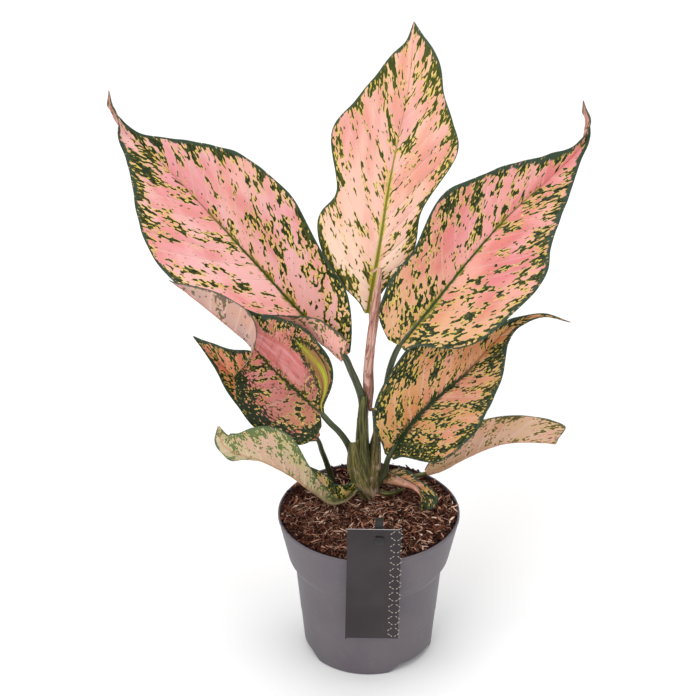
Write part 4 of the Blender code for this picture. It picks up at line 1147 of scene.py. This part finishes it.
stroke = add(lattice, "GeometryNodeMeshCube", {"Size": size})
lean = add(lattice, "GeometryNodeInputNamedAttribute", {"Name": "lean"}, data_type="FLOAT")
spin = add(lattice, "ShaderNodeCombineXYZ", {"Y": lean * -STROKE_TILT})
strokes = add(lattice, "GeometryNodeInstanceOnPoints", {
    "Points": given["Geometry"], "Instance": stroke, "Rotation": given["Card Turn"]})
strokes = add(lattice, "GeometryNodeRotateInstances", {"Instances": strokes, "Rotation": spin, "Local Space": True})
end_tree(lattice, strokes, given["Finish"])
card_turn = (-math.atan2(down[1], -down[2]), math.atan2(down[0], -down[2]), 0)
values = dict(zip(("Length", "Width", "Thickness"), STROKE), **{"Card Turn": card_turn, "Finish": foil})
border = grown("card_lattice", dots, lattice, values)
bpy.data.objects.remove(dots)
settle(border, "label_card")

black_plastic = new_finish("black_plastic", 0.36, Base_Color=colour(30, 32, 31), Specular_IOR_Level=0.5)[0]
card_y = slit[1]
front, behind, high = card_y - 0.0016, card_y + 0.0024, CARD_TOP[2] + 0.0015
line = np.array([
    (front - 0.0004, slit[2] - 0.0042), (front, slit[2] - 0.001), (front + 0.0006, slit[2]),
    (behind - 0.0006, slit[2]), (behind, slit[2] + 0.001), (behind + 0.0002, high - 0.002), (behind + 0.0016, high),
    (HANGER_Y - 0.0016, high), (HANGER_Y, high - 0.002), (HANGER_Y, HANGER_FOOT),
])
ways = unit(np.gradient(line, axis=0))
normals = np.stack([-ways[:, 1], ways[:, 0]], -1) * HANGER_THICK / 2
half = HANGER_WIDTH / 2
flat = half - STRAP_LIP
section = ((flat, 1), (half, 0.5), (half, -0.5), (flat, -1), (-flat, -1), (-half, -0.5), (-half, 0.5), (-flat, 1))
loops = []
for (y, z), (ny, nz) in zip(line, normals):
    loops.append([(HANGER_X + x, y + ny * t, z + nz * t) for x, t in section])
sides = len(loops[0])
faces = [tuple(range(sides)), tuple((len(loops) - 1) * sides + k for k in range(sides))[::-1]]
strap = add_piece("strap", np.concatenate(loops), faces + sleeve(len(loops), sides), [black_plastic])
close_up(strap, 40)
settle(strap, "label_hanger", "label_hanger")

# ---------------------------------------------------------------- floor and lights
# The pot stands on a plain, matt white table, wide enough to fill the view from the front. Three wide, soft
# lights and a pale room light it evenly.
FLOOR_SIDE = 9.0
LIGHTS = {
    # where it hangs, its side in metres, and its power in watts
    "key": ((-1.5, -2.0, 2.3), 2.2, 46),
    "fill": ((2.0, -1.7, 1.4), 2.2, 18),
    "overhead": ((0.1, 0.5, 2.8), 2.6, 44),
}
ROOM_LIGHT = 0.56

table_top, tree = new_finish("table_top", 0.9, Base_Color=(0.93, 0.93, 0.93, 1), Specular_IOR_Level=0.1)
half = FLOOR_SIDE / 2
corners = [(-half, -half, 0), (half, -half, 0), (half, half, 0), (-half, half, 0)]
table = add_piece("table", corners, [(0, 1, 2, 3)], [table_top])
for name, (where, side, power) in LIGHTS.items():
    light = bpy.data.lights.new(name, "AREA")
    light.size, light.energy = side, power
    lamp = bpy.data.objects.new(name, light)
    lamp.location = where
    way = np.array(AIM) - np.array(where)
    lamp.rotation_euler = (math.acos(-way[2] / np.linalg.norm(way)), 0, math.atan2(way[1], way[0]) - math.pi / 2)
    bpy.context.scene.collection.objects.link(lamp)
room = bpy.data.worlds.new("room")
room.use_nodes = True
room.node_tree.nodes["Background"].inputs[0].default_value = (1, 1, 1, 1)
room.node_tree.nodes["Background"].inputs[1].default_value = ROOM_LIGHT
bpy.context.scene.world = room
bpy.context.scene.view_settings.view_transform = "Standard"
